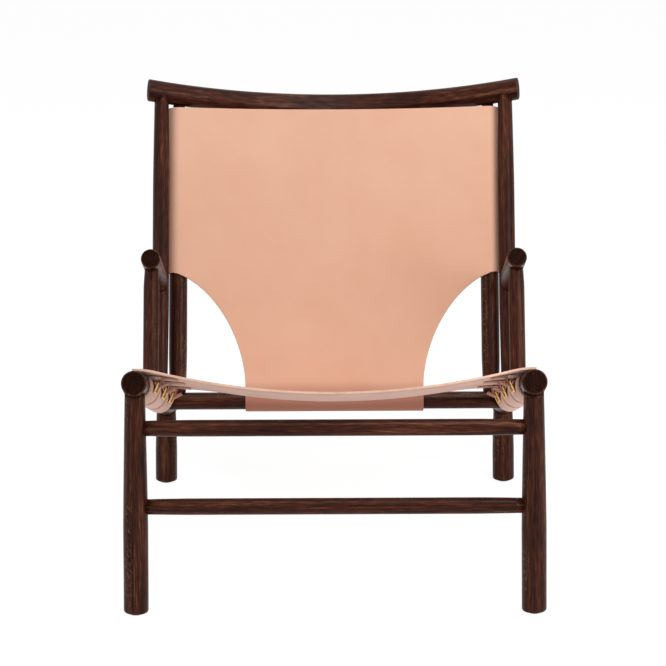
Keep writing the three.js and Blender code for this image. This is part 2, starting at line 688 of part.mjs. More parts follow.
function buckleFrame(side) {
  const inside = STRAP_WIDTH + 2 * BUCKLE_SIDE_ROOM;
  const shape = new THREE.Shape(rounded(inside + 2 * BUCKLE_BAR, BUCKLE_DROP + BUCKLE_BAR, BUCKLE_CORNER));
  const corner = BUCKLE_CORNER - barHalf;
  shape.holes.push(new THREE.Path(rounded(inside, BUCKLE_DROP - BUCKLE_BAR, corner)));
  const geometry = new THREE.ExtrudeGeometry(shape, { depth: BUCKLE_BAR, bevelEnabled: false });
  const middle = strapPoint((farRun + heelRun) / 2, frameOut);
  const along = new THREE.Vector3(0, 1, 0);
  const run = new THREE.Vector3(-side * RUN[0], 0, RUN[1]);
  const facing = along.clone().cross(run);
  const place = new THREE.Matrix4().makeBasis(along, run, facing).setPosition(-side * middle[0], 0, middle[1]);
  return solidOf(geometry.translate(0, 0, -BUCKLE_BAR / 2), place);
}

function heelRound(side, radius, width) {
  const ring = arcPath(radius, 0, 2 * Math.PI, PIN_SIDES).slice(0, PIN_SIDES);
  const points = ring.map(([x, up]) => new THREE.Vector2(x - side * heel[0], up + heel[1]));
  return alongRail(new THREE.Shape(points), -width / 2, width);
}

function prong(side) {
  const out = frameOut + barHalf + FIT + PRONG_THICKNESS / 2;
  const path = [strapPoint(heelRun, out), strapPoint(farRun - barHalf - PRONG_OVERHANG, out)];
  const shank = alongRail(band(flipped(path, side), PRONG_THICKNESS), -PRONG_WIDTH / 2, PRONG_WIDTH);
  const eye = heelRound(side, eyeRadius, PRONG_WIDTH);
  return shank.add(eye).subtract(heelRound(side, eyeBore, 2 * PRONG_WIDTH));
}

function chape(side, station) {
  const below = SHEET / 2 + FIT + CHAPE_ROOM + CHAPE / 2;
  const start = heel[0] + CHAPE_SET;
  const flange = [];
  for (let i = 0; i <= CHAPE_STEPS; i += 1) {
    const inward = start + (CHAPE_FLANGE * i) / CHAPE_STEPS;
    const up = seatUp(RAIL_HALF_SPACING - inward, station - STRAP_WIDTH / 2);
    flange.push([inward, up - below / Math.cos(SEAT_DROP_FRONT)]);
  }
  const neck = [heel, [flange[0][0] + CHAPE, flange[0][1]]];
  const cut = (path) => alongRail(band(flipped(path, side), CHAPE), -STRAP_WIDTH / 2, STRAP_WIDTH);
  const slot = heelRound(side, loopRadius + FIT, slotWidth);
  const loop = heelRound(side, loopRadius, STRAP_WIDTH);
  const bored = loop.add(cut(neck)).subtract(heelRound(side, eyeBore, 2 * STRAP_WIDTH));
  return bored.subtract(slot).add(cut(flange));
}

// Back leather: sleeves round the uprights and the cross rail, and a panel with two cut-outs between them
const sleeveBore = UPRIGHT_RADIUS + FIT + SLEEVE_SLACK;
const tongueBore = CROSS_RAIL_RADIUS + FIT + SLEEVE_SLACK;
const sleeveMid = sleeveBore + SHEET / 2;
const tongueMid = tongueBore + SHEET / 2;
const PANEL = SHEET - 2 * SKIVE;
const sleeveTurn = Math.atan((2 * BACK_SAG) / UPRIGHT_HALF_SPACING);
const panelHalf = UPRIGHT_HALF_SPACING - sleeveMid * Math.sin(sleeveTurn) + SLEEVE_LAP;
const cornerX = UPRIGHT_HALF_SPACING + sleeveBore + SHEET;

function smooth(share) {
  const held = Math.min(Math.max(share, 0), 1);
  return held * held * (3 - 2 * held);
}

// How far the panel's middle surface stands behind the uprights' plane
function panelBehind(x, up) {
  const grown = smooth(up / BACK_CORNER);
  const front = tongueMid + (sleeveMid * Math.cos(sleeveTurn) - tongueMid) * grown;
  return BACK_SAG * grown * (1 - (x / panelHalf) ** 2) - front;
}

function panelRows() {
  const rows = [[TONGUE_HALF_WIDTH, 0]];
  for (let i = 0; i < CUTOUT_STEPS; i += 1) {
    const angle = (Math.PI / 2) * (i / CUTOUT_STEPS);
    const x = cornerX - (cornerX - TONGUE_HALF_WIDTH) * Math.cos(angle) ** (2 / CUTOUT_POWER);
    const up = BACK_NECK + (BACK_CORNER - BACK_NECK) * Math.sin(angle) ** (2 / CUTOUT_POWER);
    if (x < panelHalf) {
      rows.push([x, up]);
    }
  }
  for (let i = 0; i <= BACK_ROWS; i += 1) {
    rows.push([panelHalf, BACK_CORNER + ((BACK_TOP - BACK_CORNER) * i) / BACK_ROWS]);
  }
  return rows;
}

function backPanel() {
  const grid = panelRows().map(([width, up]) => {
    const row = [];
    for (let j = 0; j <= BACK_COLUMNS; j += 1) {
      const x = width * ((2 * j) / BACK_COLUMNS - 1);
      row.push(new THREE.Vector3(x, panelBehind(x, up), up));
    }
    return row;
  });
  return slab(grid, PANEL);
}

function sleeve(from, to, bore) {
  const past = to.clone().sub(from).normalize();
  const outer = pin(from, to, bore + SHEET, ROUND_SIDES);
  return outer.subtract(pin(from.clone().sub(past), to.clone().add(past), bore, ROUND_SIDES));
}

let backSling = backPanel();
for (const [, side] of SIDES) {
  const x = side * UPRIGHT_HALF_SPACING;
  const foot = new THREE.Vector3(x, 0, BACK_CORNER);
  const top = new THREE.Vector3(x, 0, BACK_TOP);
  backSling = backSling.add(sleeve(foot, top, sleeveBore));
}
const tongueEnd = new THREE.Vector3(TONGUE_HALF_WIDTH, 0, 0);
backSling = backSling.add(sleeve(tongueEnd.clone().negate(), tongueEnd, tongueBore));

// Finishes and the finished chair
const OAK = { color: 0x3a2018, roughness: 0.55, metalness: 0 };
const HIDE = { color: 0xe2b296, roughness: 0.6, metalness: 0 };
const FLESH = { color: 0xcdaa9b, roughness: 0.85, metalness: 0 };
const BRASS = { color: 0xdcb46e, roughness: 0.3, metalness: 1 };
const NYLON = { color: 0x1c1a19, roughness: 0.6, metalness: 0 };

function addPiece(parent, name, geometry, finish) {
  const mesh = new THREE.Mesh(geometry, new THREE.MeshStandardMaterial(finish));
  mesh.name = name;
  parent.add(mesh);
  return mesh;
}

const body = new THREE.Group();
body.name = "chair_body";
for (const [name, { solid, matrix }] of Object.entries(frame)) {
  const geometry = geometryOf(solid).applyMatrix4(matrix.clone().invert());
  addPiece(body, name, geometry, name.startsWith("glide") ? NYLON : OAK).applyMatrix4(matrix);
}

const deck = new THREE.Group();
deck.name = "seat_deck";
deck.applyMatrix4(DECK);
body.add(deck);
addPiece(deck, "seat_sling", geometryOf(seatSling), HIDE);
for (const [name, side] of SIDES) {
  stations.forEach((station, i) => {
    const closure = new THREE.Group();
    closure.name = `closure_${name}_${i + 1}`;
    closure.position.set(side * RAIL_HALF_SPACING, station, 0);
    deck.add(closure);
    addPiece(closure, `buckle_${name}_${i + 1}`, geometryOf(buckleFrame(side)), BRASS);
    addPiece(closure, `prong_${name}_${i + 1}`, geometryOf(prong(side)), BRASS);
    addPiece(closure, `chape_${name}_${i + 1}`, geometryOf(chape(side, station)), FLESH);
  });
}

const back = new THREE.Group();
back.name = "back_frame";
back.applyMatrix4(BACK_IN_DECK);
deck.add(back);
addPiece(back, "back_sling", geometryOf(backSling), HIDE);

const chair = new THREE.Group();
chair.name = "sling_lounge_chair";
chair.add(body);
const box = new THREE.Box3().setFromObject(chair, true);
body.position.y -= (box.min.y + box.max.y) / 2;

export default chair;
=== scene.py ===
"""Looks of a sling lounge chair: turned smoked oak, saddle leather and brass buckles.

Shapes are worked out in millimetres in the frame of the solids, and put_mesh turns them to metres.
"""

import logging
import math
from dataclasses import dataclass
from enum import Enum
from typing import Callable, Sequence

import bmesh
import bpy
import numpy as np
from mathutils import Matrix, Vector


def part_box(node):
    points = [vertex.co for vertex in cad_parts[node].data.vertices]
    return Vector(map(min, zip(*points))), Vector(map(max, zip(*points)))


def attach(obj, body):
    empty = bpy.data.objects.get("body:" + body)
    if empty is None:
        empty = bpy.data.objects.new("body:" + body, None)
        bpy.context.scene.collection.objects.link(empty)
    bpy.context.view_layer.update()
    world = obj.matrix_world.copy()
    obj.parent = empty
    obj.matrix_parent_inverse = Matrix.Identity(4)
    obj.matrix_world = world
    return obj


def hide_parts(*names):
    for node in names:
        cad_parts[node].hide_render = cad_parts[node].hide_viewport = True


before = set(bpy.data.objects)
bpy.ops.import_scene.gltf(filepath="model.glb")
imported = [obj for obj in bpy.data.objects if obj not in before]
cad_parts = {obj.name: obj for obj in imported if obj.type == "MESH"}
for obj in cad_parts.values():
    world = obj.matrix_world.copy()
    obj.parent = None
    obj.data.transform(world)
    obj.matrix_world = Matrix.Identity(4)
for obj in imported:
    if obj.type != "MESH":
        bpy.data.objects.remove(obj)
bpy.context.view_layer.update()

Array = np.ndarray
Thing = bpy.types.Object
Outline = Callable[[Array, float], Array]
LOG = logging.getLogger("sling_lounge_chair")
CHAIR = "chair"

# Metres in a millimetre. Then, in millimetres, the clearance between neighbouring pieces and the slack of a
# size test.
MM = 0.001
FIT = 0.3
NEAR = 0.1

# Numbers of the Mix node's sockets: its two values, its two colours and the colour that it gives.
VALUE_A, VALUE_B = 2, 3
COLOUR_A, COLOUR_B = 6, 7
COLOUR_OUT = 2

# Rings on a flat end, as shares of its flat radius.
CAP_SHARES = (0.0, 0.5, 0.97)

# A taper's bend, and its longest run as a share of the stick.
TAPER_POWER = 1.2
TAPER_LIMIT = 0.45


class Side(Enum):
    """The two sides of the chair, seen from the front."""

    LEFT = -1
    RIGHT = 1

    @property
    def label(self) -> str:
        """The word that the solids' names use for this side."""
        return self.name.lower()


class LegRow(Enum):
    """The two rows of legs, in the words of the solids' names."""

    FRONT = "front"
    REAR = "rear"


class Level(Enum):
    """The two stretchers by their height, in the words of the solids' names."""

    UPPER = "upper"
    LOWER = "lower"


# Materials


def linear(code: str) -> tuple[float, float, float, float]:
    """Turns an sRGB hex colour to linear light.

    Args:
        code: Six hex digits after a hash sign.

    Returns:
        Linear red, green, blue and an alpha of 1.
    """
    parts = np.array([int(code[i:i + 2], 16) for i in (1, 3, 5)]) / 255.0
    light = np.where(parts <= 0.04045, parts / 12.92, ((parts + 0.055) / 1.055) ** 2.4)
    return (*light.tolist(), 1.0)


def add_node(tree: bpy.types.NodeTree, kind: str, sockets: dict | None = None,
             **settings: object) -> bpy.types.Node:
    """Adds a node with its settings, values and links.

    Args:
        tree: The node tree.
        kind: The node's type name.
        sockets: Input name or number to a value, or to the output socket that feeds it.
        **settings: Properties of the node.

    Returns:
        The new node.
    """
    made = tree.nodes.new(kind)
    for key, value in settings.items():
        setattr(made, key, value)
    for key, value in (sockets or {}).items():
        if isinstance(value, bpy.types.NodeSocket):
            tree.links.new(value, made.inputs[key])
        else:
            made.inputs[key].default_value = value
    return made


def blank(name: str) -> tuple[bpy.types.Material, bpy.types.NodeTree]:
    """Makes an empty node material.

    Args:
        name: The material's name.

    Returns:
        The material and its node tree.
    """
    made = bpy.data.materials.new(name)
    made.use_nodes = True
    made.node_tree.nodes.clear()
    return made, made.node_tree


def ramp_of(tree: bpy.types.NodeTree, feed: bpy.types.NodeSocket,
            stops: Sequence[tuple[float, str]]) -> bpy.types.Node:
    """Adds a colour ramp with hex stops.

    Args:
        tree: The node tree.
        feed: The socket that drives the ramp.
        stops: Places from 0 to 1 with their hex colours.

    Returns:
        The ramp node.
    """
    ramp = add_node(tree, "ShaderNodeValToRGB", {"Fac": feed})
    points = ramp.color_ramp.elements
    while len(points) < len(stops):
        points.new(1.0)
    for point, (place, code) in zip(points, stops):
        point.position = place
        point.color = linear(code)
    return ramp


@dataclass(frozen=True)
class SmokedOak:
    """Smoked oak, turned and oiled: streaks along the stick, pale ray flecks on two faces, a low sheen.

    The pattern reads the piece's own grain attribute: growth rings lie across its first axis, rays show on
    the faces across its second axis, and the third runs along the stick. Real pores are about 0.3 mm wide
    and real flecks about 1 mm, so both are drawn coarser to show in the render.
    """

    name: str = "smoked_oak_turned_oiled"
    dark: str = "#180804"
    brown: str = "#38190f"
    warm: str = "#4f2718"
    streak: str = "#6e4a33"
    fleck: str = "#96734f"
    tone_stops: tuple[float, float, float, float] = (0.35, 0.49, 0.58, 0.7)
    growth_mm: tuple[float, float, float] = (3.4, 16.0, 240.0)
    pore_mm: tuple[float, float, float] = (1.7, 1.7, 24.0)
    pore_share: float = 0.48
    fleck_mm: tuple[float, float, float] = (4.5, 14.0, 3.0)
    fleck_range: tuple[float, float] = (0.58, 0.7)
    fleck_slant: float = 1.1
    fleck_strength: float = 0.36
    patch_mm: tuple[float, float, float] = (26.0, 26.0, 70.0)
    patch_range: tuple[float, float] = (0.4, 0.55)
    ray_face_mm: tuple[float, float] = (11.5, 16.5)
    roughness: float = 0.32
    sheen: float = 0.1

    def noise(self, tree: bpy.types.NodeTree, grain: bpy.types.NodeSocket, cell: tuple[float, float, float],
              detail: float) -> bpy.types.NodeSocket:
        """Noise with a cell of a given size in the grain's axes.

        Args:
            tree: The node tree.
            grain: Grain coordinates, in metres.
            cell: Cell sizes, in millimetres.
            detail: Finer layers of the noise.

        Returns:
            The value socket.
        """
        scale = tuple(1 / (size * MM) for size in cell)
        place = add_node(tree, "ShaderNodeMapping", {"Vector": grain, "Scale": scale})
        return add_node(tree, "ShaderNodeTexNoise", {
            "Vector": place.outputs[0], "Scale": 1.0, "Detail": detail, "Roughness": 0.55}).outputs["Fac"]

    def flecks(self, tree: bpy.types.NodeTree, grain: bpy.types.NodeSocket) -> bpy.types.NodeSocket:
        """Share of the ray flecks: slanted dashes that meet in chevrons on a ray face, in patches.

        Args:
            tree: The node tree.
            grain: Grain coordinates, in metres.

        Returns:
            The value socket.
        """
        axes = add_node(tree, "ShaderNodeSeparateXYZ", {"Vector": grain}).outputs
        side = add_node(tree, "ShaderNodeMath", {0: axes["X"]}, operation="ABSOLUTE")
        slant = add_node(tree, "ShaderNodeMath", {
            0: side.outputs[0], 1: self.fleck_slant, 2: axes["Z"]}, operation="MULTIPLY_ADD")
        bent = add_node(tree, "ShaderNodeCombineXYZ", {"X": axes["X"], "Y": axes["Y"], "Z": slant.outputs[0]})
        dashes = add_node(tree, "ShaderNodeMapRange", {
            "Value": self.noise(tree, bent.outputs[0], self.fleck_mm, 0.0),
            "From Min": self.fleck_range[0], "From Max": self.fleck_range[1]})
        patches = add_node(tree, "ShaderNodeMapRange", {
            "Value": self.noise(tree, grain, self.patch_mm, 0.0),
            "From Min": self.patch_range[0], "From Max": self.patch_range[1]})
        depth = add_node(tree, "ShaderNodeMath", {0: axes["Y"]}, operation="ABSOLUTE")
        low, high = self.ray_face_mm
        face = add_node(tree, "ShaderNodeMapRange", {
            "Value": depth.outputs[0], "From Min": low * MM, "From Max": high * MM,
            "To Max": self.fleck_strength})
        some = add_node(tree, "ShaderNodeMath", {
            0: dashes.outputs[0], 1: patches.outputs[0]}, operation="MULTIPLY")
        return add_node(tree, "ShaderNodeMath", {
            0: some.outputs[0], 1: face.outputs[0]}, operation="MULTIPLY").outputs[0]

    def material(self) -> bpy.types.Material:
        """Builds the material.

        Returns:
            The material, with its nodes.
        """
        made, tree = blank(self.name)
        grain = add_node(tree, "ShaderNodeAttribute", attribute_name="grain").outputs["Vector"]
        growth = self.noise(tree, grain, self.growth_mm, 2.0)
        pores = self.noise(tree, grain, self.pore_mm, 2.0)
        both = add_node(tree, "ShaderNodeMix", {
            "Factor": self.pore_share, VALUE_A: growth, VALUE_B: pores}, data_type="FLOAT")
        tones = (self.dark, self.brown, self.warm, self.streak)
        body = ramp_of(tree, both.outputs[0], list(zip(self.tone_stops, tones)))
        colour = add_node(tree, "ShaderNodeMix", {
            "Factor": self.flecks(tree, grain), COLOUR_A: body.outputs["Color"],
            COLOUR_B: linear(self.fleck)}, data_type="RGBA")
        gloss = add_node(tree, "ShaderNodeMapRange", {
            "Value": pores, "From Min": 0.3, "From Max": 0.7,
            "To Min": self.roughness + 0.14, "To Max": self.roughness - 0.06})
        bump = add_node(tree, "ShaderNodeBump", {"Strength": 0.2, "Distance": 0.0004, "Height": pores})
        shader = add_node(tree, "ShaderNodeBsdfPrincipled", {
            "Base Color": colour.outputs[COLOUR_OUT], "Roughness": gloss.outputs[0],
            "Normal": bump.outputs[0], "Specular IOR Level": self.sheen, "IOR": 1.5})
        add_node(tree, "ShaderNodeOutputMaterial", {"Surface": shader.outputs[0]})
        return made


@dataclass(frozen=True)
class SaddleLeather:
    """Vegetable-tanned saddle leather: an even hide with soft clouds of tone and a fine pebbled grain.

    The pebbles of such a hide are about 0.6 mm, drawn 1.3 mm wide so that they show at all, and folds tells
    how many folds cross ten of them. Where a sheet carries a share of painted shade at its points, the hide
    darkens to a red brown: painted shade, standing in for the shadow under the seat on the back's loop round
    the cross rail and on the straps and chapes.
    """

    name: str = "saddle_leather_grain_side"
    pale: str = "#e7b79d"
    body: str = "#e5b499"
    deep: str = "#e3b095"
    # Painted shade: the dark red brown that stands in for the shadow under the seat.
    painted_shade_colour: str = "#b07863"
    tone_stops: tuple[float, float, float] = (0.36, 0.5, 0.64)
    cloud_mm: float = 150.0
    streak_mm: float = 46.0
    streak_share: float = 0.35
    pebble_mm: float = 1.3
    folds: float = 3.5
    fold_share: float = 0.45
    roughness: float = 0.56
    sheen: float = 0.22
    bump: float = 0.16

    def material(self) -> bpy.types.Material:
        """Builds the material.

        Returns:
            The material, with its nodes.
        """
        made, tree = blank(self.name)
        place = add_node(tree, "ShaderNodeTexCoord").outputs["Object"]
        cloud = add_node(tree, "ShaderNodeTexNoise", {
            "Vector": place, "Scale": 1 / (self.cloud_mm * MM), "Detail": 3.0, "Roughness": 0.55})
        streak = add_node(tree, "ShaderNodeTexNoise", {
            "Vector": place, "Scale": 1 / (self.streak_mm * MM), "Detail": 4.0, "Roughness": 0.6})
        tone = add_node(tree, "ShaderNodeMix", {
            "Factor": self.streak_share, VALUE_A: cloud.outputs["Fac"],
            VALUE_B: streak.outputs["Fac"]}, data_type="FLOAT")
        tones = (self.deep, self.body, self.pale)
        hide = ramp_of(tree, tone.outputs[0], list(zip(self.tone_stops, tones)))
        # Painted shade: the per-point share mixes the hide towards the dark red brown where the sheet lies in
        # shadow under the seat.
        shade_share = add_node(tree, "ShaderNodeAttribute", attribute_name="painted_shade").outputs["Fac"]
        colour = add_node(tree, "ShaderNodeMix", {
            "Factor": shade_share, COLOUR_A: hide.outputs["Color"],
            COLOUR_B: linear(self.painted_shade_colour)}, data_type="RGBA")
        pebble = add_node(tree, "ShaderNodeTexVoronoi", {
            "Vector": place, "Scale": 1 / (self.pebble_mm * MM), "Randomness": 0.9},
            feature="SMOOTH_F1")
        fold = add_node(tree, "ShaderNodeTexNoise", {
            "Vector": place, "Scale": self.folds / (self.pebble_mm * 10 * MM), "Detail": 3.0,
            "Roughness": 0.6})
        relief = add_node(tree, "ShaderNodeMix", {
            "Factor": self.fold_share, VALUE_A: pebble.outputs["Distance"],
            VALUE_B: fold.outputs["Fac"]}, data_type="FLOAT")
        bump = add_node(tree, "ShaderNodeBump", {
            "Strength": self.bump, "Distance": 0.0005, "Height": relief.outputs[0]})
        gloss = add_node(tree, "ShaderNodeMapRange", {
            "Value": streak.outputs["Fac"], "From Min": 0.3, "From Max": 0.7,
            "To Min": self.roughness - 0.05, "To Max": self.roughness + 0.07})
        shader = add_node(tree, "ShaderNodeBsdfPrincipled", {
            "Base Color": colour.outputs[COLOUR_OUT], "Roughness": gloss.outputs[0],
            "Normal": bump.outputs[0], "Specular IOR Level": self.sheen, "IOR": 1.48})
        add_node(tree, "ShaderNodeOutputMaterial", {"Surface": shader.outputs[0]})
        return made


@dataclass(frozen=True)
class CastBrass:
    """Cast brass, polished: a warm mirror that is softened by fine wipe marks and a little tarnish."""

    bright: str = "#f2d08a"
    tarnish: str = "#dcae5c"
    mark_mm: float = 1.4
    roughness: float = 0.26

    def material(self) -> bpy.types.Material:
        """Builds the material.

        Returns:
            The material, with its nodes.
        """
        made, tree = blank("brass_cast_polished")
        place = add_node(tree, "ShaderNodeTexCoord").outputs["Object"]
        marks = add_node(tree, "ShaderNodeTexNoise", {
            "Vector": place, "Scale": 1 / (self.mark_mm * MM), "Detail": 3.0, "Roughness": 0.6})
        colour = ramp_of(tree, marks.outputs["Fac"], [(0.35, self.tarnish), (0.6, self.bright)])
        gloss = add_node(tree, "ShaderNodeMapRange", {
            "Value": marks.outputs["Fac"], "From Min": 0.3, "From Max": 0.7,
            "To Min": self.roughness + 0.12, "To Max": self.roughness - 0.06})
        shader = add_node(tree, "ShaderNodeBsdfPrincipled", {
            "Base Color": colour.outputs["Color"], "Metallic": 1.0, "Roughness": gloss.outputs[0]})
        add_node(tree, "ShaderNodeOutputMaterial", {"Surface": shader.outputs[0]})
        return made


@dataclass(frozen=True)
class WaxedLinen:
    """Waxed linen thread: a pale, close twist with a soft shine, a shade lighter than the hide."""

    pale: str = "#f0d5c2"
    body: str = "#dcb498"
    twist_mm: float = 0.9
    roughness: float = 0.5

    def material(self) -> bpy.types.Material:
        """Builds the material.

        Returns:
            The material, with its nodes.
        """
        made, tree = blank("linen_thread_waxed")
        place = add_node(tree, "ShaderNodeTexCoord").outputs["Object"]
        twist = add_node(tree, "ShaderNodeTexNoise", {
            "Vector": place, "Scale": 1 / (self.twist_mm * MM), "Detail": 1.0})
        colour = ramp_of(tree, twist.outputs["Fac"], [(0.4, self.body), (0.6, self.pale)])
        shader = add_node(tree, "ShaderNodeBsdfPrincipled", {
            "Base Color": colour.outputs["Color"], "Roughness": self.roughness})
        add_node(tree, "ShaderNodeOutputMaterial", {"Surface": shader.outputs[0]})
        return made


@dataclass(frozen=True)
class MouldedNylon:
    """Moulded nylon: near black, matt, with the faint orange-peel of a mould."""

    body: str = "#1c1a19"
    worn: str = "#2b2826"
    peel_mm: float = 1.2
    roughness: float = 0.58

    def material(self) -> bpy.types.Material:
        """Builds the material.

        Returns:
            The material, with its nodes.
        """
        made, tree = blank("nylon_moulded")
        place = add_node(tree, "ShaderNodeTexCoord").outputs["Object"]
        peel = add_node(tree, "ShaderNodeTexNoise", {
            "Vector": place, "Scale": 1 / (self.peel_mm * MM), "Detail": 2.0})
        colour = ramp_of(tree, peel.outputs["Fac"], [(0.4, self.body), (0.65, self.worn)])
        bump = add_node(tree, "ShaderNodeBump", {
            "Strength": 0.1, "Distance": 0.0003, "Height": peel.outputs["Fac"]})
        shader = add_node(tree, "ShaderNodeBsdfPrincipled", {
            "Base Color": colour.outputs["Color"], "Roughness": self.roughness, "Normal": bump.outputs[0]})
        add_node(tree, "ShaderNodeOutputMaterial", {"Surface": shader.outputs[0]})
        return made


END_GRAIN = SmokedOak(
    name="smoked_oak_end_grain", dark="#120603", brown="#1d0c06", warm="#2a120a", streak="#33180e",
    fleck="#3a2016", growth_mm=(4.0, 30.0, 60.0), pore_mm=(1.6, 1.6, 9.0), roughness=0.6,
    sheen=0.04)
FLESH_SIDE = SaddleLeather(
    name="saddle_leather_flesh_side", pale="#e2c2b5", body="#dcb9ab", deep="#d5af9f", cloud_mm=60.0,
    streak_mm=9.0, pebble_mm=1.9, roughness=0.86, bump=0.3)
CUT_EDGE = SaddleLeather(
    name="saddle_leather_cut_edge", pale="#efc6b0", body="#e8bda6", deep="#dcae96", cloud_mm=30.0,
    streak_mm=7.0, pebble_mm=1.1, roughness=0.66, bump=0.2)


# Placing and meshing


def turn_x(angle: float) -> Array:
    """The 3 by 3 turn about the X axis.

    Args:
        angle: Radians, right-handed.

    Returns:
        The matrix.
    """
    c, s = math.cos(angle), math.sin(angle)
    return np.array([[1.0, 0.0, 0.0], [0.0, c, -s], [0.0, s, c]])


def unit(way: Array) -> Array:
    """A direction of length 1."""
    return way / np.linalg.norm(way)


def round_angles(count: int) -> Array:
    """Even angles once round a circle, from nought."""
    return np.linspace(0, 2 * math.pi, count, endpoint=False)


def oval(angle: Array, power: float) -> tuple[Array, Array]:
    """A superellipse of radius 1: the sign of cos and sin times their size to a power."""
    return tuple(np.sign(part) * np.abs(part) ** power for part in (np.cos(angle), np.sin(angle)))


@dataclass(frozen=True)
class Placement:
    """A local frame of the chair within the frame of the solids, in millimetres."""

    origin: Array
    turn: Array

    def at(self, *point: float | Array) -> Array:
        """Points of the solids' frame from local ones: turn times the point, plus the origin.

        Args:
            *point: Local x, y and z, as numbers or arrays of one shape.

        Returns:
            The points, with x, y, z on the last axis.
        """
        local = np.stack(np.broadcast_arrays(*point), axis=-1).astype(float)
        return local @ self.turn.T + self.origin

    def way(self, *direction: float | Array) -> Array:
        """A local direction in the solids' frame."""
        return np.stack(np.broadcast_arrays(*direction), axis=-1).astype(float) @ self.turn.T


def put_mesh(name: str, points: Array, faces: list[list[int]], finishes: Sequence[bpy.types.Material],
             grain: Array | None = None, slots: Array | None = None, closed: bool = True) -> Thing:
    """Makes an object at the origin from points in millimetres.

    Args:
        name: The object's name.
        points: Points with x, y, z on the last axis.
        faces: Lists of point numbers.
        finishes: Materials in slot order.
        grain: Grain coordinates of each point, in millimetres.
        slots: Material slot of each face.
        closed: Whether the shell is closed, so that its faces can be turned outwards.

    Returns:
        The object.
    """
    mesh = bpy.data.meshes.new(name)
    mesh.from_pydata((points.reshape(-1, 3) * MM).tolist(), [], faces)
    for finish in finishes:
        mesh.materials.append(finish)
    if grain is not None:
        layer = mesh.attributes.new("grain", "FLOAT_VECTOR", "POINT")
        layer.data.foreach_set("vector", (grain.reshape(-1, 3) * MM).astype(np.float32).ravel())
    if slots is not None:
        mesh.polygons.foreach_set("material_index", slots.astype(np.int32))
    mesh.polygons.foreach_set("use_smooth", np.ones(len(mesh.polygons), dtype=bool))
    if closed:
        work = bmesh.new()
        work.from_mesh(mesh)
        bmesh.ops.recalc_face_normals(work, faces=work.faces)
        work.to_mesh(mesh)
        work.free()
    mesh.update()
    made = bpy.data.objects.new(name, mesh)
    bpy.context.scene.collection.objects.link(made)
    return made


def settle(piece: Thing, body: str, slot: str, *nodes: str) -> Thing:
    """Lets a piece ride on a body and stand for solids.

    Args:
        piece: The object.
        body: The body that it rides on.
        slot: The record's material slot. Not used.
        *nodes: The solids that it replaces.

    Returns:
        The object.
    """
    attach(piece, body)
    if nodes:
        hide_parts(*nodes)
    LOG.info("%s: %d faces on %s", piece.name, len(piece.data.polygons), body)
    return piece


def capped_faces(rings: int, sides: int) -> list[list[int]]:
    """Faces of a closed tube: quads between rings, and a fan to a pole at each end.

    Point i * sides + j is side j of ring i, and the two poles follow the rings.

    Args:
        rings: Number of rings.
        sides: Points in a ring.

    Returns:
        The faces.
    """
    i, j = np.meshgrid(np.arange(rings - 1), np.arange(sides), indexing="ij")
    k = (j + 1) % sides
    quads = np.stack([i * sides + j, i * sides + k, (i + 1) * sides + k, (i + 1) * sides + j], axis=-1)
    j = np.arange(sides)
    k = (j + 1) % sides
    first = np.stack([np.full(sides, rings * sides), k, j], axis=-1)
    end = (rings - 1) * sides
    last = np.stack([np.full(sides, rings * sides + 1), end + j, end + k], axis=-1)
    return quads.reshape(-1, 4).tolist() + first.tolist() + last.tolist()


def capped(name: str, rings: Array, finishes: Sequence[bpy.types.Material], grain: Array | None = None,
           caps: tuple[int, int] = (0, 0)) -> Thing:
    """A closed tube from rings of points, whose first and last ring shrink to poles.

    Args:
        name: The object's name.
        rings: Points on a rings by sides grid. The first and the last ring are single points.
        finishes: Materials in slot order.
        grain: Grain coordinates on the same grid.
        caps: How many bands of faces at each end have the second finish.

    Returns:
        The object.
    """
    poles = rings[[0, -1], :1].reshape(-1, 3)
    points = np.concatenate([rings[1:-1].reshape(-1, 3), poles])
    if grain is not None:
        ends = grain[[0, -1]].mean(axis=1)
        grain = np.concatenate([grain[1:-1].reshape(-1, 3), ends])
    bands, sides = len(rings) - 3, rings.shape[1]
    band = np.repeat(np.concatenate([np.arange(bands) + 1, [0, bands + 1]]), sides)
    slots = (band < caps[0]) | (band >= bands + 2 - caps[1])
    return put_mesh(name, points, capped_faces(bands + 1, sides), finishes, grain, slots)


def sheet_object(name: str, grid: Array, keep: Array, finishes: Sequence[bpy.types.Material],
                 slots: Array | None = None) -> tuple[Thing, Array]:
    """An open sheet from a grid of points, with some of its cells left out.

    Args:
        name: The object's name.
        grid: Points on a rows by columns grid.
        keep: True for each cell that is leather.
        finishes: Materials in slot order.
        slots: Material slot of each cell.

    Returns:
        The object, and the grid numbers of its points.
    """
    rows, columns = grid.shape[:2]
    i, j = np.meshgrid(np.arange(rows - 1), np.arange(columns - 1), indexing="ij")
    first = i * columns + j
    quads = np.stack([first, first + 1, first + columns + 1, first + columns], axis=-1)[keep]
    used, number = np.unique(quads, return_inverse=True)
    faces = number.reshape(quads.shape).tolist()
    chosen = None if slots is None else slots[keep]
    made = put_mesh(name, grid.reshape(-1, 3)[used], faces, finishes, slots=chosen, closed=False)
    return made, used


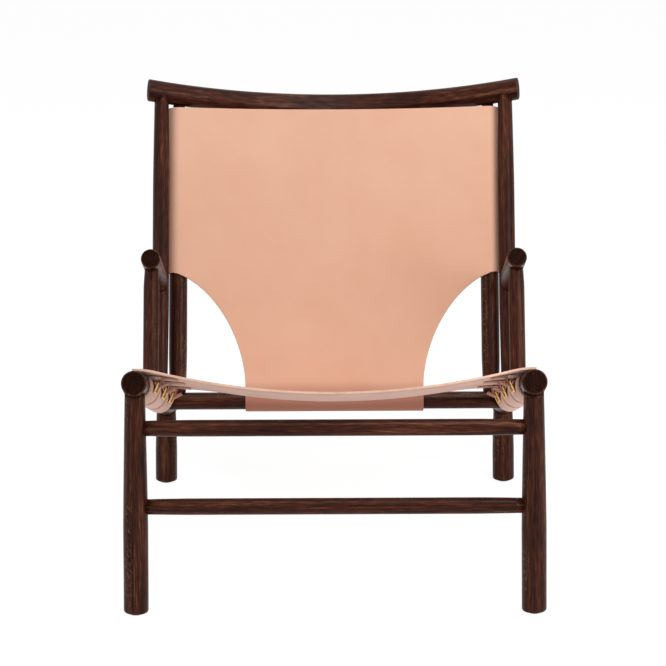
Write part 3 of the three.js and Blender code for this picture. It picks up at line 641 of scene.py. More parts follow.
def thicken(piece: Thing, thickness: float, edge: float, weights: Array | None = None) -> Thing:
    """Gives a sheet its thickness about its middle surface, and a rounded edge.

    Args:
        piece: The sheet.
        thickness: Millimetres.
        edge: Radius of the rounded edge, in millimetres.
        weights: Share of the thickness at each point.

    Returns:
        The sheet.
    """
    solid = piece.modifiers.new("thickness", "SOLIDIFY")
    solid.thickness = thickness * MM
    solid.offset = 0.0
    solid.use_even_offset = True
    solid.material_offset = 1
    solid.material_offset_rim = 2
    if weights is not None:
        group = piece.vertex_groups.new(name="thickness")
        for share in np.unique(weights):
            group.add(np.flatnonzero(weights == share).tolist(), float(share), "REPLACE")
        solid.vertex_group = group.name
    rounded = piece.modifiers.new("worn_edge", "BEVEL")
    rounded.width = edge * MM
    rounded.segments = 2
    rounded.limit_method = "ANGLE"
    rounded.angle_limit = math.radians(50)
    even = piece.modifiers.new("even_shading", "WEIGHTED_NORMAL")
    even.keep_sharp = True
    return piece


def painted_shade(piece: Thing, shares: Array) -> None:
    """Stores how far each point of a sheet is darkened by painted shade, from 0 to 1."""
    layer = piece.data.attributes.new("painted_shade", "FLOAT", "POINT")
    layer.data.foreach_set("value", shares.astype(np.float32))


def spaced(breaks: Sequence[float], step: float) -> Array:
    """Values that hold every break, with even steps between them.

    Args:
        breaks: Break values, in any order.
        step: Largest step.

    Returns:
        The values in rising order.
    """
    ordered = np.unique(np.round(breaks, 6))
    runs = [np.linspace(low, high, max(2, math.ceil((high - low) / step) + 1))[:-1]
            for low, high in zip(ordered, ordered[1:])]
    return np.concatenate([*runs, ordered[-1:]])


def hermite(p: Array, q: Array, p_way: Array, q_way: Array, share: Array) -> Array:
    """Cubic between two points with given tangents: the Hermite basis times points and tangents.

    Args:
        p: First point, on the last axis.
        q: Last point.
        p_way: Tangent at the first point.
        q_way: Tangent at the last point.
        share: Shares from 0 to 1, shaped to broadcast against the points.

    Returns:
        The points.
    """
    s2, s3 = share ** 2, share ** 3
    return ((2 * s3 - 3 * s2 + 1) * p + (s3 - 2 * s2 + share) * p_way
            + (3 * s2 - 2 * s3) * q + (s3 - s2) * q_way)


# The chair's plan


@dataclass(frozen=True)
class Plan:
    """Driving sizes of the frame, as in the solids, in millimetres and radians."""

    rail_half: float = 312.5
    rail_radius: float = 20.0
    rail_length: float = 750.0
    rail_height: float = 390.5
    rail_edge: float = 2.5
    slope: float = math.radians(19.5)
    recline: float = math.radians(22.6)
    front_leg: float = 22.0
    arm_post: float = 346.0
    back_post: float = 566.0
    cross_rail: float = 592.0
    rear_leg: float = 722.0
    upright_half: float = 282.5
    crest_half: float = 337.0
    crest_radius: float = 20.0
    crest_bow: float = 80.0
    crest_tilt: float = math.radians(31.0)
    crest_up: float = 566.0

    @property
    def deck(self) -> Placement:
        """The slanted seat's frame: across, along a rail from its front end, and up.

        Returns:
            The frame.
        """
        low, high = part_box("glide_front_left")
        shift = (low.y + high.y) / 2 / MM - self.front_leg * math.cos(self.slope)
        return Placement(np.array([0.0, shift, self.rail_height]), turn_x(-self.slope))

    @property
    def back(self) -> Placement:
        """The back's frame: across, behind and up the uprights, from the cross rail's middle."""
        return Placement(self.deck.at(0, self.cross_rail, 0), turn_x(-self.recline))

    @property
    def lean(self) -> float:
        """How far the back leans more than the seat's own square."""
        return self.recline - self.slope

    @property
    def dip(self) -> float:
        """How far the crest's bow dips from the back's square."""
        return self.crest_tilt - self.recline

    @property
    def bow_radius(self) -> float:
        """Radius of the crest's bow: half the chord squared plus the rise squared, over twice the rise."""
        return (self.crest_half ** 2 + self.crest_bow ** 2) / (2 * self.crest_bow)

    def bow(self, x: float | Array) -> float | Array:
        """How far the crest's middle line stands behind its ends at a place across."""
        return self.crest_bow - self.bow_radius + np.sqrt(self.bow_radius ** 2 - np.square(x))

    @property
    def post_behind(self) -> float:
        """Where the back posts stand in the back's frame."""
        return -(self.cross_rail - self.back_post) * math.cos(self.lean)

    @property
    def crest(self) -> Placement:
        """The crest's frame: across, along the bow, and square to it.

        Returns:
            The frame.
        """
        post_row = self.post_behind - self.bow(self.rail_half) * math.cos(self.dip)
        upright_row = -self.bow(self.upright_half) * math.cos(self.dip)
        origin = self.back.at(0, (post_row + upright_row) / 2, self.crest_up)
        return Placement(origin, turn_x(-self.crest_tilt))


# Turned sticks


def eased(narrow: float, full: float, share: Array) -> Array:
    """Radius in a taper: narrow plus the rest times one minus (1 - share) to the taper's power."""
    return narrow + (full - narrow) * (1 - (1 - np.clip(share, 0, 1)) ** TAPER_POWER)


def plain(radius: float) -> Outline:
    """The outline of an even stick."""
    return lambda along, length: np.full_like(along, radius)


def bellied(foot: float, belly: float, top: float, foot_run: float, top_run: float) -> Outline:
    """The outline of a stick that narrows to both ends.

    Args:
        foot: Radius at its start.
        belly: Full radius.
        top: Radius at its end.
        foot_run: Length of the first taper.
        top_run: Length of the last taper.

    Returns:
        A function of the place along the stick and its length.
    """
    def radius(along: Array, length: float) -> Array:
        """The smaller of the two tapers' radii.

        Args:
            along: Places along the stick.
            length: The stick's length.

        Returns:
            The radii.
        """
        low = eased(foot, belly, along / min(foot_run, TAPER_LIMIT * length))
        high = eased(top, belly, (length - along) / min(top_run, TAPER_LIMIT * length))
        return np.minimum(low, high)
    return radius


def tapered(full: float, narrow: float, run: float) -> Outline:
    """The outline of a stick that narrows to its end only."""
    return lambda along, length: eased(narrow, full, (length - along) / run)


@dataclass(frozen=True)
class FreeEnd:
    """A flat end with a rounded edge."""

    edge: float
    steps: int = 6
    flat_bands: int = len(CAP_SHARES)

    def rows(self, origin: Array, inward: Array, radial: Array, radius: float) -> tuple[Array, Array]:
        """Rings of the end: shares of the radius, and depths below the end's plane.

        The edge is a quarter round: radius less edge plus edge * sin, depth edge * (1 - cos).

        Args:
            origin: The end's middle, which only a coped end needs.
            inward: Direction into the stick, likewise.
            radial: Directions round the stick.
            radius: The stick's radius there.

        Returns:
            Shares for each ring, and depths for each ring and side.
        """
        angle = np.linspace(0, math.pi / 2, self.steps)
        flat = 1 - self.edge / radius
        shares = np.concatenate([flat * np.array(CAP_SHARES), flat + np.sin(angle) * (1 - flat)])
        depths = np.concatenate([np.zeros(len(CAP_SHARES)), self.edge * (1 - np.cos(angle))])
        return shares, np.repeat(depths[:, None], len(radial), axis=1)


@dataclass(frozen=True)
class CopedEnd:
    """An end that is coped to the round side of another stick."""

    point: Array
    way: Array
    radius: float
    shares: tuple[float, ...] = (0.0, 0.35, 0.7, 0.95, 1.0)
    flat_bands: int = 0

    def rows(self, origin: Array, inward: Array, radial: Array, radius: float) -> tuple[Array, Array]:
        """Rings of the saddle: each point runs inward until it is the other stick's radius from its axis.

        With q and a the parts of the start and of the run that are square to the axis, the run t solves
        |q + t a| = radius + clearance.

        Args:
            origin: The end's middle, inside the other stick.
            inward: Direction into the stick.
            radial: Directions round the stick.
            radius: The stick's radius there.

        Returns:
            Shares for each ring, and depths for each ring and side.
        """
        shares = np.array(self.shares)
        start = origin - self.point + radius * shares[:, None, None] * radial
        q = start - (start @ self.way)[..., None] * self.way
        a = inward - (inward @ self.way) * self.way
        square, middle = a @ a, q @ a
        rest = (q * q).sum(axis=-1) - (self.radius + FIT) ** 2
        depth = (-middle + np.sqrt(np.maximum(middle ** 2 - square * rest, 0))) / square
        return shares, depth


@dataclass(frozen=True)
class Stick:
    """A turned stick between two points, made as an outline spun about its axis.

    Sides are counted from the direction square to X, or square to Z where the axis itself is steep along X.
    """

    node: str
    start: Array
    end: Array
    outline: Outline
    first: FreeEnd | CopedEnd
    last: FreeEnd | CopedEnd
    sides: int = 56
    rows: int = 44
    steep: float = 0.7
    log_length: float = 9000.0

    @property
    def length(self) -> float:
        """Distance between the two points."""
        return float(np.linalg.norm(self.end - self.start))

    def radius_at(self, along: float) -> float:
        """Radius at a place along the stick."""
        return float(self.outline(np.array([along]), self.length)[0])

    def build(self, oak: Sequence[bpy.types.Material], seed: int) -> Thing:
        """Spins the outline: start + along * axis + radius * (cos(angle) * u + sin(angle) * v).

        Args:
            oak: The finishes of its side and of its flat ends.
            seed: Turns the grain and shifts it along a log, so that no two sticks have the same.

        Returns:
            The object.
        """
        axis = unit(self.end - self.start)
        spare = np.array([1.0, 0.0, 0.0]) if abs(axis[0]) < self.steep else np.array([0.0, 0.0, 1.0])
        u = unit(np.cross(axis, spare))
        v = np.cross(axis, u)
        angle = round_angles(self.sides)
        radial = np.cos(angle)[:, None] * u + np.sin(angle)[:, None] * v
        near = self.radius_at(getattr(self.first, "radius", 0.0))
        far = self.radius_at(self.length - getattr(self.last, "radius", 0.0))
        first_share, first_depth = self.first.rows(self.start, axis, radial, near)
        last_share, last_depth = self.last.rows(self.end, -axis, radial, far)
        low, high = first_depth[-1], self.length - last_depth[-1]
        run = np.linspace(0, 1, self.rows)[1:-1, None]
        along = np.concatenate([first_depth, low + (high - low) * run, self.length - last_depth[::-1]])
        share = np.concatenate([first_share, np.ones(self.rows - 2), last_share[::-1]])
        radius = self.outline(along, self.length) * share[:, None]
        points = self.start + along[..., None] * axis + radius[..., None] * radial
        points[0] = points[0].mean(axis=0)
        points[-1] = points[-1].mean(axis=0)
        roll, shift = np.random.default_rng(seed).uniform([0.0, 0.0], [2 * math.pi, self.log_length])
        rolled = angle + roll
        grain = np.stack([radius * np.cos(rolled), radius * np.sin(rolled), along + shift], axis=-1)
        caps = (self.first.flat_bands, self.last.flat_bands)
        made = capped(f"{self.node}_turned", points, oak, grain, caps)
        return settle(made, CHAIR, "oak", self.node)


@dataclass(frozen=True)
class SeatFrame:
    """Rails, legs, stretchers, the cross rail and the glides."""

    plan: Plan
    oak: Sequence[bpy.types.Material]
    nylon: bpy.types.Material
    leg_radius: float = 20.0
    front_top: float = 15.7
    rear_top: float = 17.5
    front_taper: float = 240.0
    rear_taper: float = 90.0
    splay: float = math.radians(1.1)
    foot_edge: float = 3.0
    glide_radius: float = 12.0
    glide_height: float = 2.5
    glide_edge: float = 0.8
    glide_sides: int = 40
    glide_steps: int = 5
    stretcher_radius: float = 13.2
    stretcher_end: float = 12.0
    stretcher_taper: float = 90.0
    stretcher_heights: tuple[float, float] = (310.5, 180.0)
    cross_radius: float = 15.5
    cross_end: float = 17.0
    cross_taper: float = 150.0
    first_seed: int = 2012

    def rail(self, side: Side) -> Stick:
        """One seat rail, free at both ends."""
        x, deck, end = side.value * self.plan.rail_half, self.plan.deck, FreeEnd(self.plan.rail_edge)
        return Stick(f"seat_rail_{side.label}", deck.at(x, 0, 0), deck.at(x, self.plan.rail_length, 0),
                     plain(self.plan.rail_radius), end, end)

    def leg(self, side: Side, row: LegRow) -> Stick:
        """One leg, from its foot to the rail's axis.

        Args:
            side: Side of the chair.
            row: The row it stands in.

        Returns:
            The leg.
        """
        front = row is LegRow.FRONT
        station = self.plan.front_leg if front else self.plan.rear_leg
        top = self.plan.deck.at(side.value * self.plan.rail_half, station, 0)
        lift = self.glide_height + FIT + self.glide_radius * math.sin(self.splay)
        foot = np.array([top[0] + side.value * (top[2] - lift) * math.tan(self.splay), top[1], lift])
        outline = tapered(self.leg_radius, self.front_top if front else self.rear_top,
                          self.front_taper if front else self.rear_taper)
        cope = CopedEnd(top, self.plan.deck.way(0, 1, 0), self.plan.rail_radius)
        return Stick(f"{row.value}_leg_{side.label}", foot, top, outline, FreeEnd(self.foot_edge), cope)

    def stretcher(self, level: Level, height: float) -> Stick:
        """One stretcher between the front legs, coped to both.

        Args:
            level: Which of the two it is.
            height: Height of its axis at the legs.

        Returns:
            The stretcher.
        """
        ends = []
        for side in Side:
            leg = self.leg(side, LegRow.FRONT)
            share = (height - leg.start[2]) / (leg.end[2] - leg.start[2])
            point = leg.start + share * (leg.end - leg.start)
            ends.append(CopedEnd(point, unit(leg.end - leg.start), leg.radius_at(share * leg.length)))
        outline = bellied(self.stretcher_end, self.stretcher_radius, self.stretcher_end,
                          self.stretcher_taper, self.stretcher_taper)
        return Stick(f"front_stretcher_{level.value}", ends[0].point, ends[1].point, outline, *ends)

    def cross_rail(self) -> Stick:
        """The rail at the foot of the back, coped to both seat rails.

        Returns:
            The rail.
        """
        deck, way = self.plan.deck, self.plan.deck.way(0, 1, 0)
        points = [deck.at(side.value * self.plan.rail_half, self.plan.cross_rail, 0) for side in Side]
        outline = bellied(self.cross_end, self.cross_radius, self.cross_end,
                          self.cross_taper, self.cross_taper)
        ends = [CopedEnd(point, way, self.plan.rail_radius) for point in points]
        return Stick("rear_cross_rail", *points, outline, *ends)

    def glide(self, side: Side, row: LegRow) -> Thing:
        """One glide: a low disc with a rounded edge, spun about the foot's middle.

        Args:
            side: Side of the chair.
            row: The row of its leg.

        Returns:
            The object.
        """
        node = f"glide_{row.value}_{side.label}"
        low, high = (np.array(corner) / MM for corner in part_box(node))
        middle = (low + high) / 2
        angle = round_angles(self.glide_sides)
        bend = np.linspace(0, math.pi / 2, self.glide_steps)
        edge = self.glide_edge
        radius = np.concatenate([[0], self.glide_radius - edge + edge * np.sin(bend),
                                 self.glide_radius - edge + edge * np.cos(bend), [0]])
        height = np.concatenate([[0], edge * (1 - np.cos(bend)),
                                 self.glide_height - edge + edge * np.sin(bend), [self.glide_height]])
        rings = np.stack(np.broadcast_arrays(
            middle[0] + radius[:, None] * np.cos(angle),
            middle[1] + radius[:, None] * np.sin(angle), height[:, None]), axis=-1)
        return settle(capped(f"{node}_moulded", rings, [self.nylon]), CHAIR, "glide", node)

    def build(self) -> None:
        """Builds every piece of the seat's frame."""
        sticks = [self.rail(side) for side in Side]
        sticks += [self.leg(side, row) for side in Side for row in LegRow]
        sticks += [self.stretcher(level, height) for level, height in zip(Level, self.stretcher_heights)]
        sticks.append(self.cross_rail())
        for seed, stick in enumerate(sticks, start=self.first_seed):
            stick.build(self.oak, seed)
        for side in Side:
            for row in LegRow:
                self.glide(side, row)


@dataclass(frozen=True)
class BackFrame:
    """Arms and their posts, back posts, uprights and the crest rail."""

    plan: Plan
    oak: Sequence[bpy.types.Material]
    arm_radius: float = 16.7
    arm_rear: float = 12.5
    arm_taper: float = 90.0
    arm_half: float = 311.0
    arm_height: float = 227.0
    arm_overhang: float = 27.0
    arm_drop: float = math.radians(5.0)
    arm_edge: float = 2.2
    arm_post_radii: tuple[float, float, float] = (12.5, 13.5, 10.7)
    arm_post_taper: float = 45.0
    back_post_radius: float = 15.0
    back_post_end: float = 12.7
    back_post_taper: float = 170.0
    upright_radii: tuple[float, float, float] = (14.0, 16.4, 9.0)
    upright_tapers: tuple[float, float] = (80.0, 110.0)
    upright_seat: float = 16.6
    crest_end_turn: float = math.radians(11.0)
    crest_edge: float = 2.4
    facet_depth: float = 5.5
    facet_half: float = 238.0
    facet_least: float = math.radians(2)
    facet_columns: int = 11
    crest_rows: int = 161
    crest_columns: int = 73
    crest_steps: int = 6
    crest_cluster: float = 0.45
    first_seed: int = 2032

    def crest_host(self, x: float) -> CopedEnd:
        """The crest rail as something to cope to.

        Args:
            x: The place across.

        Returns:
            The cope.
        """
        tilt = math.asin(x / self.plan.bow_radius)
        crest = self.plan.crest
        return CopedEnd(crest.at(x, self.plan.bow(x), 0), crest.way(math.cos(tilt), -math.sin(tilt), 0),
                        self.plan.crest_radius)

    def back_post(self, side: Side) -> Stick:
        """One outer post, from the seat rail to the crest rail.

        Args:
            side: Side of the chair.

        Returns:
            The post.
        """
        plan, x = self.plan, side.value * self.plan.rail_half
        top = plan.crest_up - plan.bow(plan.rail_half) * math.sin(plan.dip)
        start, end = plan.deck.at(x, plan.back_post, 0), plan.back.at(x, plan.post_behind, top)
        outline = bellied(self.back_post_end, self.back_post_radius, self.back_post_end,
                          self.back_post_taper, self.back_post_taper)
        foot = CopedEnd(start, plan.deck.way(0, 1, 0), plan.rail_radius)
        return Stick(f"back_post_{side.label}", start, end, outline, foot, self.crest_host(x))

    def upright(self, side: Side) -> Stick:
        """One inner upright, from the cross rail to the crest rail.

        Args:
            side: Side of the chair.

        Returns:
            The upright.
        """
        plan, x = self.plan, side.value * self.plan.upright_half
        top = plan.crest_up - plan.bow(plan.upright_half) * math.sin(plan.dip)
        start, end = plan.back.at(x, 0, 0), plan.back.at(x, 0, top)
        foot = CopedEnd(start, np.array([1.0, 0.0, 0.0]), self.upright_seat)
        outline = bellied(*self.upright_radii, *self.upright_tapers)
        return Stick(f"sling_upright_{side.label}", start, end, outline, foot, self.crest_host(x))

    def arm(self, side: Side) -> Stick:
        """One arm, free in front and coped to its back post.

        In the side view it is the line through the post's top that drops by the arm's angle, cut where it
        meets the back post's line.

        Args:
            side: Side of the chair.

        Returns:
            The arm.
        """
        plan = self.plan
        slant = np.array([math.cos(self.arm_drop), -math.sin(self.arm_drop)])
        rise = np.array([math.sin(plan.lean), math.cos(plan.lean)])
        seat = np.array([plan.arm_post, self.arm_height])
        run, _ = np.linalg.solve(np.stack([slant, -rise], axis=1), np.array([plan.back_post, 0.0]) - seat)
        front, rear = seat - self.arm_overhang * slant, seat + run * slant
        start = plan.deck.at(side.value * self.arm_half, *front)
        end = plan.deck.at(side.value * plan.rail_half, *rear)
        post = self.back_post(side)
        way = unit(post.end - post.start)
        cope = CopedEnd(end, way, post.radius_at(float((end - post.start) @ way)))
        return Stick(f"arm_{side.label}", start, end, tapered(self.arm_radius, self.arm_rear, self.arm_taper),
                     FreeEnd(self.arm_edge), cope)

    def arm_post(self, side: Side) -> Stick:
        """One post under an arm, coped to the seat rail and to the arm.

        Args:
            side: Side of the chair.

        Returns:
            The post.
        """
        plan, arm = self.plan, self.arm(side)
        way = unit(arm.end - arm.start)
        start = plan.deck.at(side.value * plan.rail_half, plan.arm_post, 0)
        end = arm.start + self.arm_overhang * way
        foot = CopedEnd(start, plan.deck.way(0, 1, 0), plan.rail_radius)
        outline = bellied(*self.arm_post_radii, self.arm_post_taper, self.arm_post_taper)
        return Stick(f"arm_post_{side.label}", start, end, outline, foot, CopedEnd(end, way, self.arm_radius))

    def crest_end(self, offset: Array) -> Array:
        """Bow angle at which a line of the rail meets the slanted end face.

        On the bow's circle a point is (radius + offset) * (sin, cos), and the end's plane gives
        sin(angle - turn) = distance / (radius + offset).

        Args:
            offset: Distances outward from the rail's middle line.

        Returns:
            The angles.
        """
        plan, turn = self.plan, self.crest_end_turn
        distance = plan.crest_half * math.cos(turn) - (plan.bow_radius - plan.crest_bow) * math.sin(turn)
        return turn + np.arcsin(distance / (plan.bow_radius + offset))

    def crest_rail(self) -> Thing:
        """The bowed rail: a round section with a flat facet in front, swept along the bow's circle.

        The facet's half angle comes from its distance d from the middle line, cos(angle) = d / radius, so
        that fixed columns lie on its edges.

        Returns:
            The object.
        """
        plan, radius, bow = self.plan, self.plan.crest_radius, self.plan.bow_radius
        limit = float(self.crest_end(np.array(0.0)))
        rows = np.linspace(-1, 1, self.crest_rows)
        x = bow * np.sin(rows * limit)
        fall = (self.facet_depth + plan.bow(0) - plan.bow(self.facet_half)) / self.facet_half ** 2
        depth = radius - self.facet_depth + plan.bow(x) - plan.bow(0) + fall * x ** 2
        half = np.arccos(np.clip(depth / radius, -1, math.cos(self.facet_least)))
        share = np.linspace(-1, 1, self.crest_columns)
        cluster = self.crest_cluster
        clustered = (1 - cluster) * share + cluster * np.sin(share * math.pi / 2)
        turn = (math.pi - half)[:, None] * clustered
        chord = np.sin(np.linspace(-1, 1, self.facet_columns + 2)[1:-1] * math.pi / 2)
        facet = np.repeat(-radius * np.cos(half)[:, None], self.facet_columns, axis=1)
        outward = np.concatenate([radius * np.cos(turn), facet], axis=1)
        up = np.concatenate([radius * np.sin(turn), -radius * np.sin(half)[:, None] * chord], axis=1)
        angle = rows[:, None] * (self.crest_end(outward) - self.crest_edge / bow)
        bend = np.linspace(math.pi / 2, 0, self.crest_steps)[1:]
        flat = 1 - self.crest_edge / radius
        caps = flat * np.array(CAP_SHARES)[::-1]
        shares = np.concatenate([flat + np.sin(bend) * (1 - flat), caps])[:, None]
        pull = np.concatenate([self.crest_edge * (1 - np.cos(bend)), np.zeros(len(caps))])[:, None]
        end_out, end_up = shares * outward[-1], shares * up[-1]
        end_angle = self.crest_end(end_out) - pull / bow
        outward = np.concatenate([end_out[::-1], outward, end_out])
        up = np.concatenate([end_up[::-1], up, end_up])
        angle = np.concatenate([-end_angle[::-1], angle, end_angle])
        reach = bow + outward
        points = plan.crest.at(reach * np.sin(angle), plan.crest_bow - bow + reach * np.cos(angle), up)
        points[0], points[-1] = points[0].mean(axis=0), points[-1].mean(axis=0)
        grain = np.stack([outward, up / 2, bow * angle], axis=-1)
        made = capped("crest_rail_shaped", points, self.oak, grain, (len(caps), len(caps)))
        return settle(made, CHAIR, "oak", "crest_rail")

    def build(self) -> None:
        """Builds every piece of the back's frame."""
        makers = (self.back_post, self.upright, self.arm, self.arm_post)
        sticks = [make(side) for side in Side for make in makers]
        for seed, stick in enumerate(sticks, start=self.first_seed):
            stick.build(self.oak, seed)
        self.crest_rail()


# Leather and buckles


@dataclass(frozen=True)
class Closure:
    """One buckled strap under a rail, in the rail's section: inward from its axis, and up.

    The buckle's own axes run up the strap from where it leaves the rail, and out from the rail.
    """

    plan: Plan
    sheet: float = 3.4
    tab: float = 3.0
    strap: float = 2.6
    tab_half: float = 72.0
    strap_half: float = 22.0
    leave: float = math.radians(-24.0)
    ear_end: float = math.radians(30.0)
    ear_room: float = 1.0
    bar: float = 3.4
    drop: float = 17.0
    side_room: float = 1.2
    corner: float = 1.9
    run_room: float = 1.0
    prong_width: float = 5.0
    prong_thickness: float = 1.7
    prong_swing: float = math.radians(45.0)
    prong_outer: float = 4.0
    slot_room: float = 1.2
    overhang: float = 1.6
    chape: float = 2.0
    flange: float = 26.0
    tail: float = 2.5
    softness: float = 0.8

    @property
    def lap_radius(self) -> float:
        """Middle of the leather round a rail."""
        return self.plan.rail_radius + FIT + self.sheet / 2

    @property
    def frame_out(self) -> float:
        """Middle of the buckle's bars, out from the strap's middle."""
        return self.strap / 2 + FIT + self.bar / 2

    @property
    def far_run(self) -> float:
        """Place of the bar that the prong rests on."""
        return self.bar / 2 + self.run_room

    @property
    def heel_run(self) -> float:
        """Place of the bar that the prong turns on."""
        return self.far_run + self.drop

    @property
    def eye_bore(self) -> float:
        """Clear radius round the heel bar."""
        return self.bar / math.sqrt(2) + FIT

    @property
    def bend_run(self) -> float:
        """Where the strap turns away from the rail, past the far bar."""
        return self.far_run + self.bar / 2 + self.run_room

    @property
    def bend(self) -> float:
        """Angle at which the strap turns away, so that it clears the chape's loop.

        Returns:
            Radians.
        """
        ahead = self.heel_run - self.bend_run
        clear = self.eye_bore + self.chape + 2 * FIT + self.strap / 2
        return math.atan2(self.frame_out, ahead) + math.asin(clear / math.hypot(ahead, self.frame_out))

    @property
    def window_half(self) -> float:
        """Half the width of the window between a tab's ears."""
        return self.strap_half + self.side_room + self.bar + self.ear_room

    @property
    def slot_half(self) -> float:
        """Half the width of the prong's slot."""
        return self.prong_width / 2 + self.slot_room

    @property
    def slot_start(self) -> float:
        """Where the prong's slot starts along the strap."""
        return self.far_run + self.bar / 2 + 2 * self.run_room + self.strap

    @property
    def slot_end(self) -> float:
        """Where the slot ends, clear of the prong at the top of its swing.

        Returns:
            The place along the strap.
        """
        run = self.heel_run + self.prong_outer * math.sin(self.prong_swing)
        out = self.frame_out + self.prong_outer * math.cos(self.prong_swing)
        rise = (run - self.bend_run) * math.tan(self.bend) - out
        reach = rise / (math.sin(self.prong_swing) + math.tan(self.bend) * math.cos(self.prong_swing))
        return run - reach * math.cos(self.prong_swing) + self.strap / 2 + 2 * self.slot_room

    @property
    def tail_run(self) -> float:
        """Where the strap ends."""
        return self.slot_end + self.tail

    def point(self, run: float | Array, out: float | Array) -> tuple[Array, Array]:
        """Inward and up of a place in the buckle's axes: (lap + out) * away + run * along.

        Args:
            run: Distance up the strap.
            out: Distance out from the strap's middle.

        Returns:
            Inward and up.
        """
        reach = self.lap_radius + out
        inward = reach * math.cos(self.leave) - run * math.sin(self.leave)
        up = reach * math.sin(self.leave) + run * math.cos(self.leave)
        return inward, up

    def strap_point(self, run: Array) -> tuple[Array, Array]:
        """Inward and up of the strap's middle, which turns away in a softened corner.

        Past the bend by p, it stands out by k * ln(1 + exp(p / k)) * tan(bend), with k the softness.

        Args:
            run: Distances up the strap.

        Returns:
            Inward and up.
        """
        past = (run - self.bend_run) / self.softness
        return self.point(run, self.softness * np.logaddexp(0, past) * math.tan(self.bend))

    @property
    def heel(self) -> tuple[float, float]:
        """Inward and up of the prong's hinge."""
        return self.point(self.heel_run, self.frame_out)

    def place(self, side: Side, station: float, inward: Array, along: Array, up: Array) -> Array:
        """Points of the solids' frame from places in the rail's section.

        Args:
            side: Side of the chair.
            station: The closure's place along the rail.
            inward: Inward from the rail's axis.
            along: Along the rail from the station.
            up: Up from the rail's axis.

        Returns:
            The points.
        """
        return self.plan.deck.at(side.value * (self.plan.rail_half - inward), station + along, up)


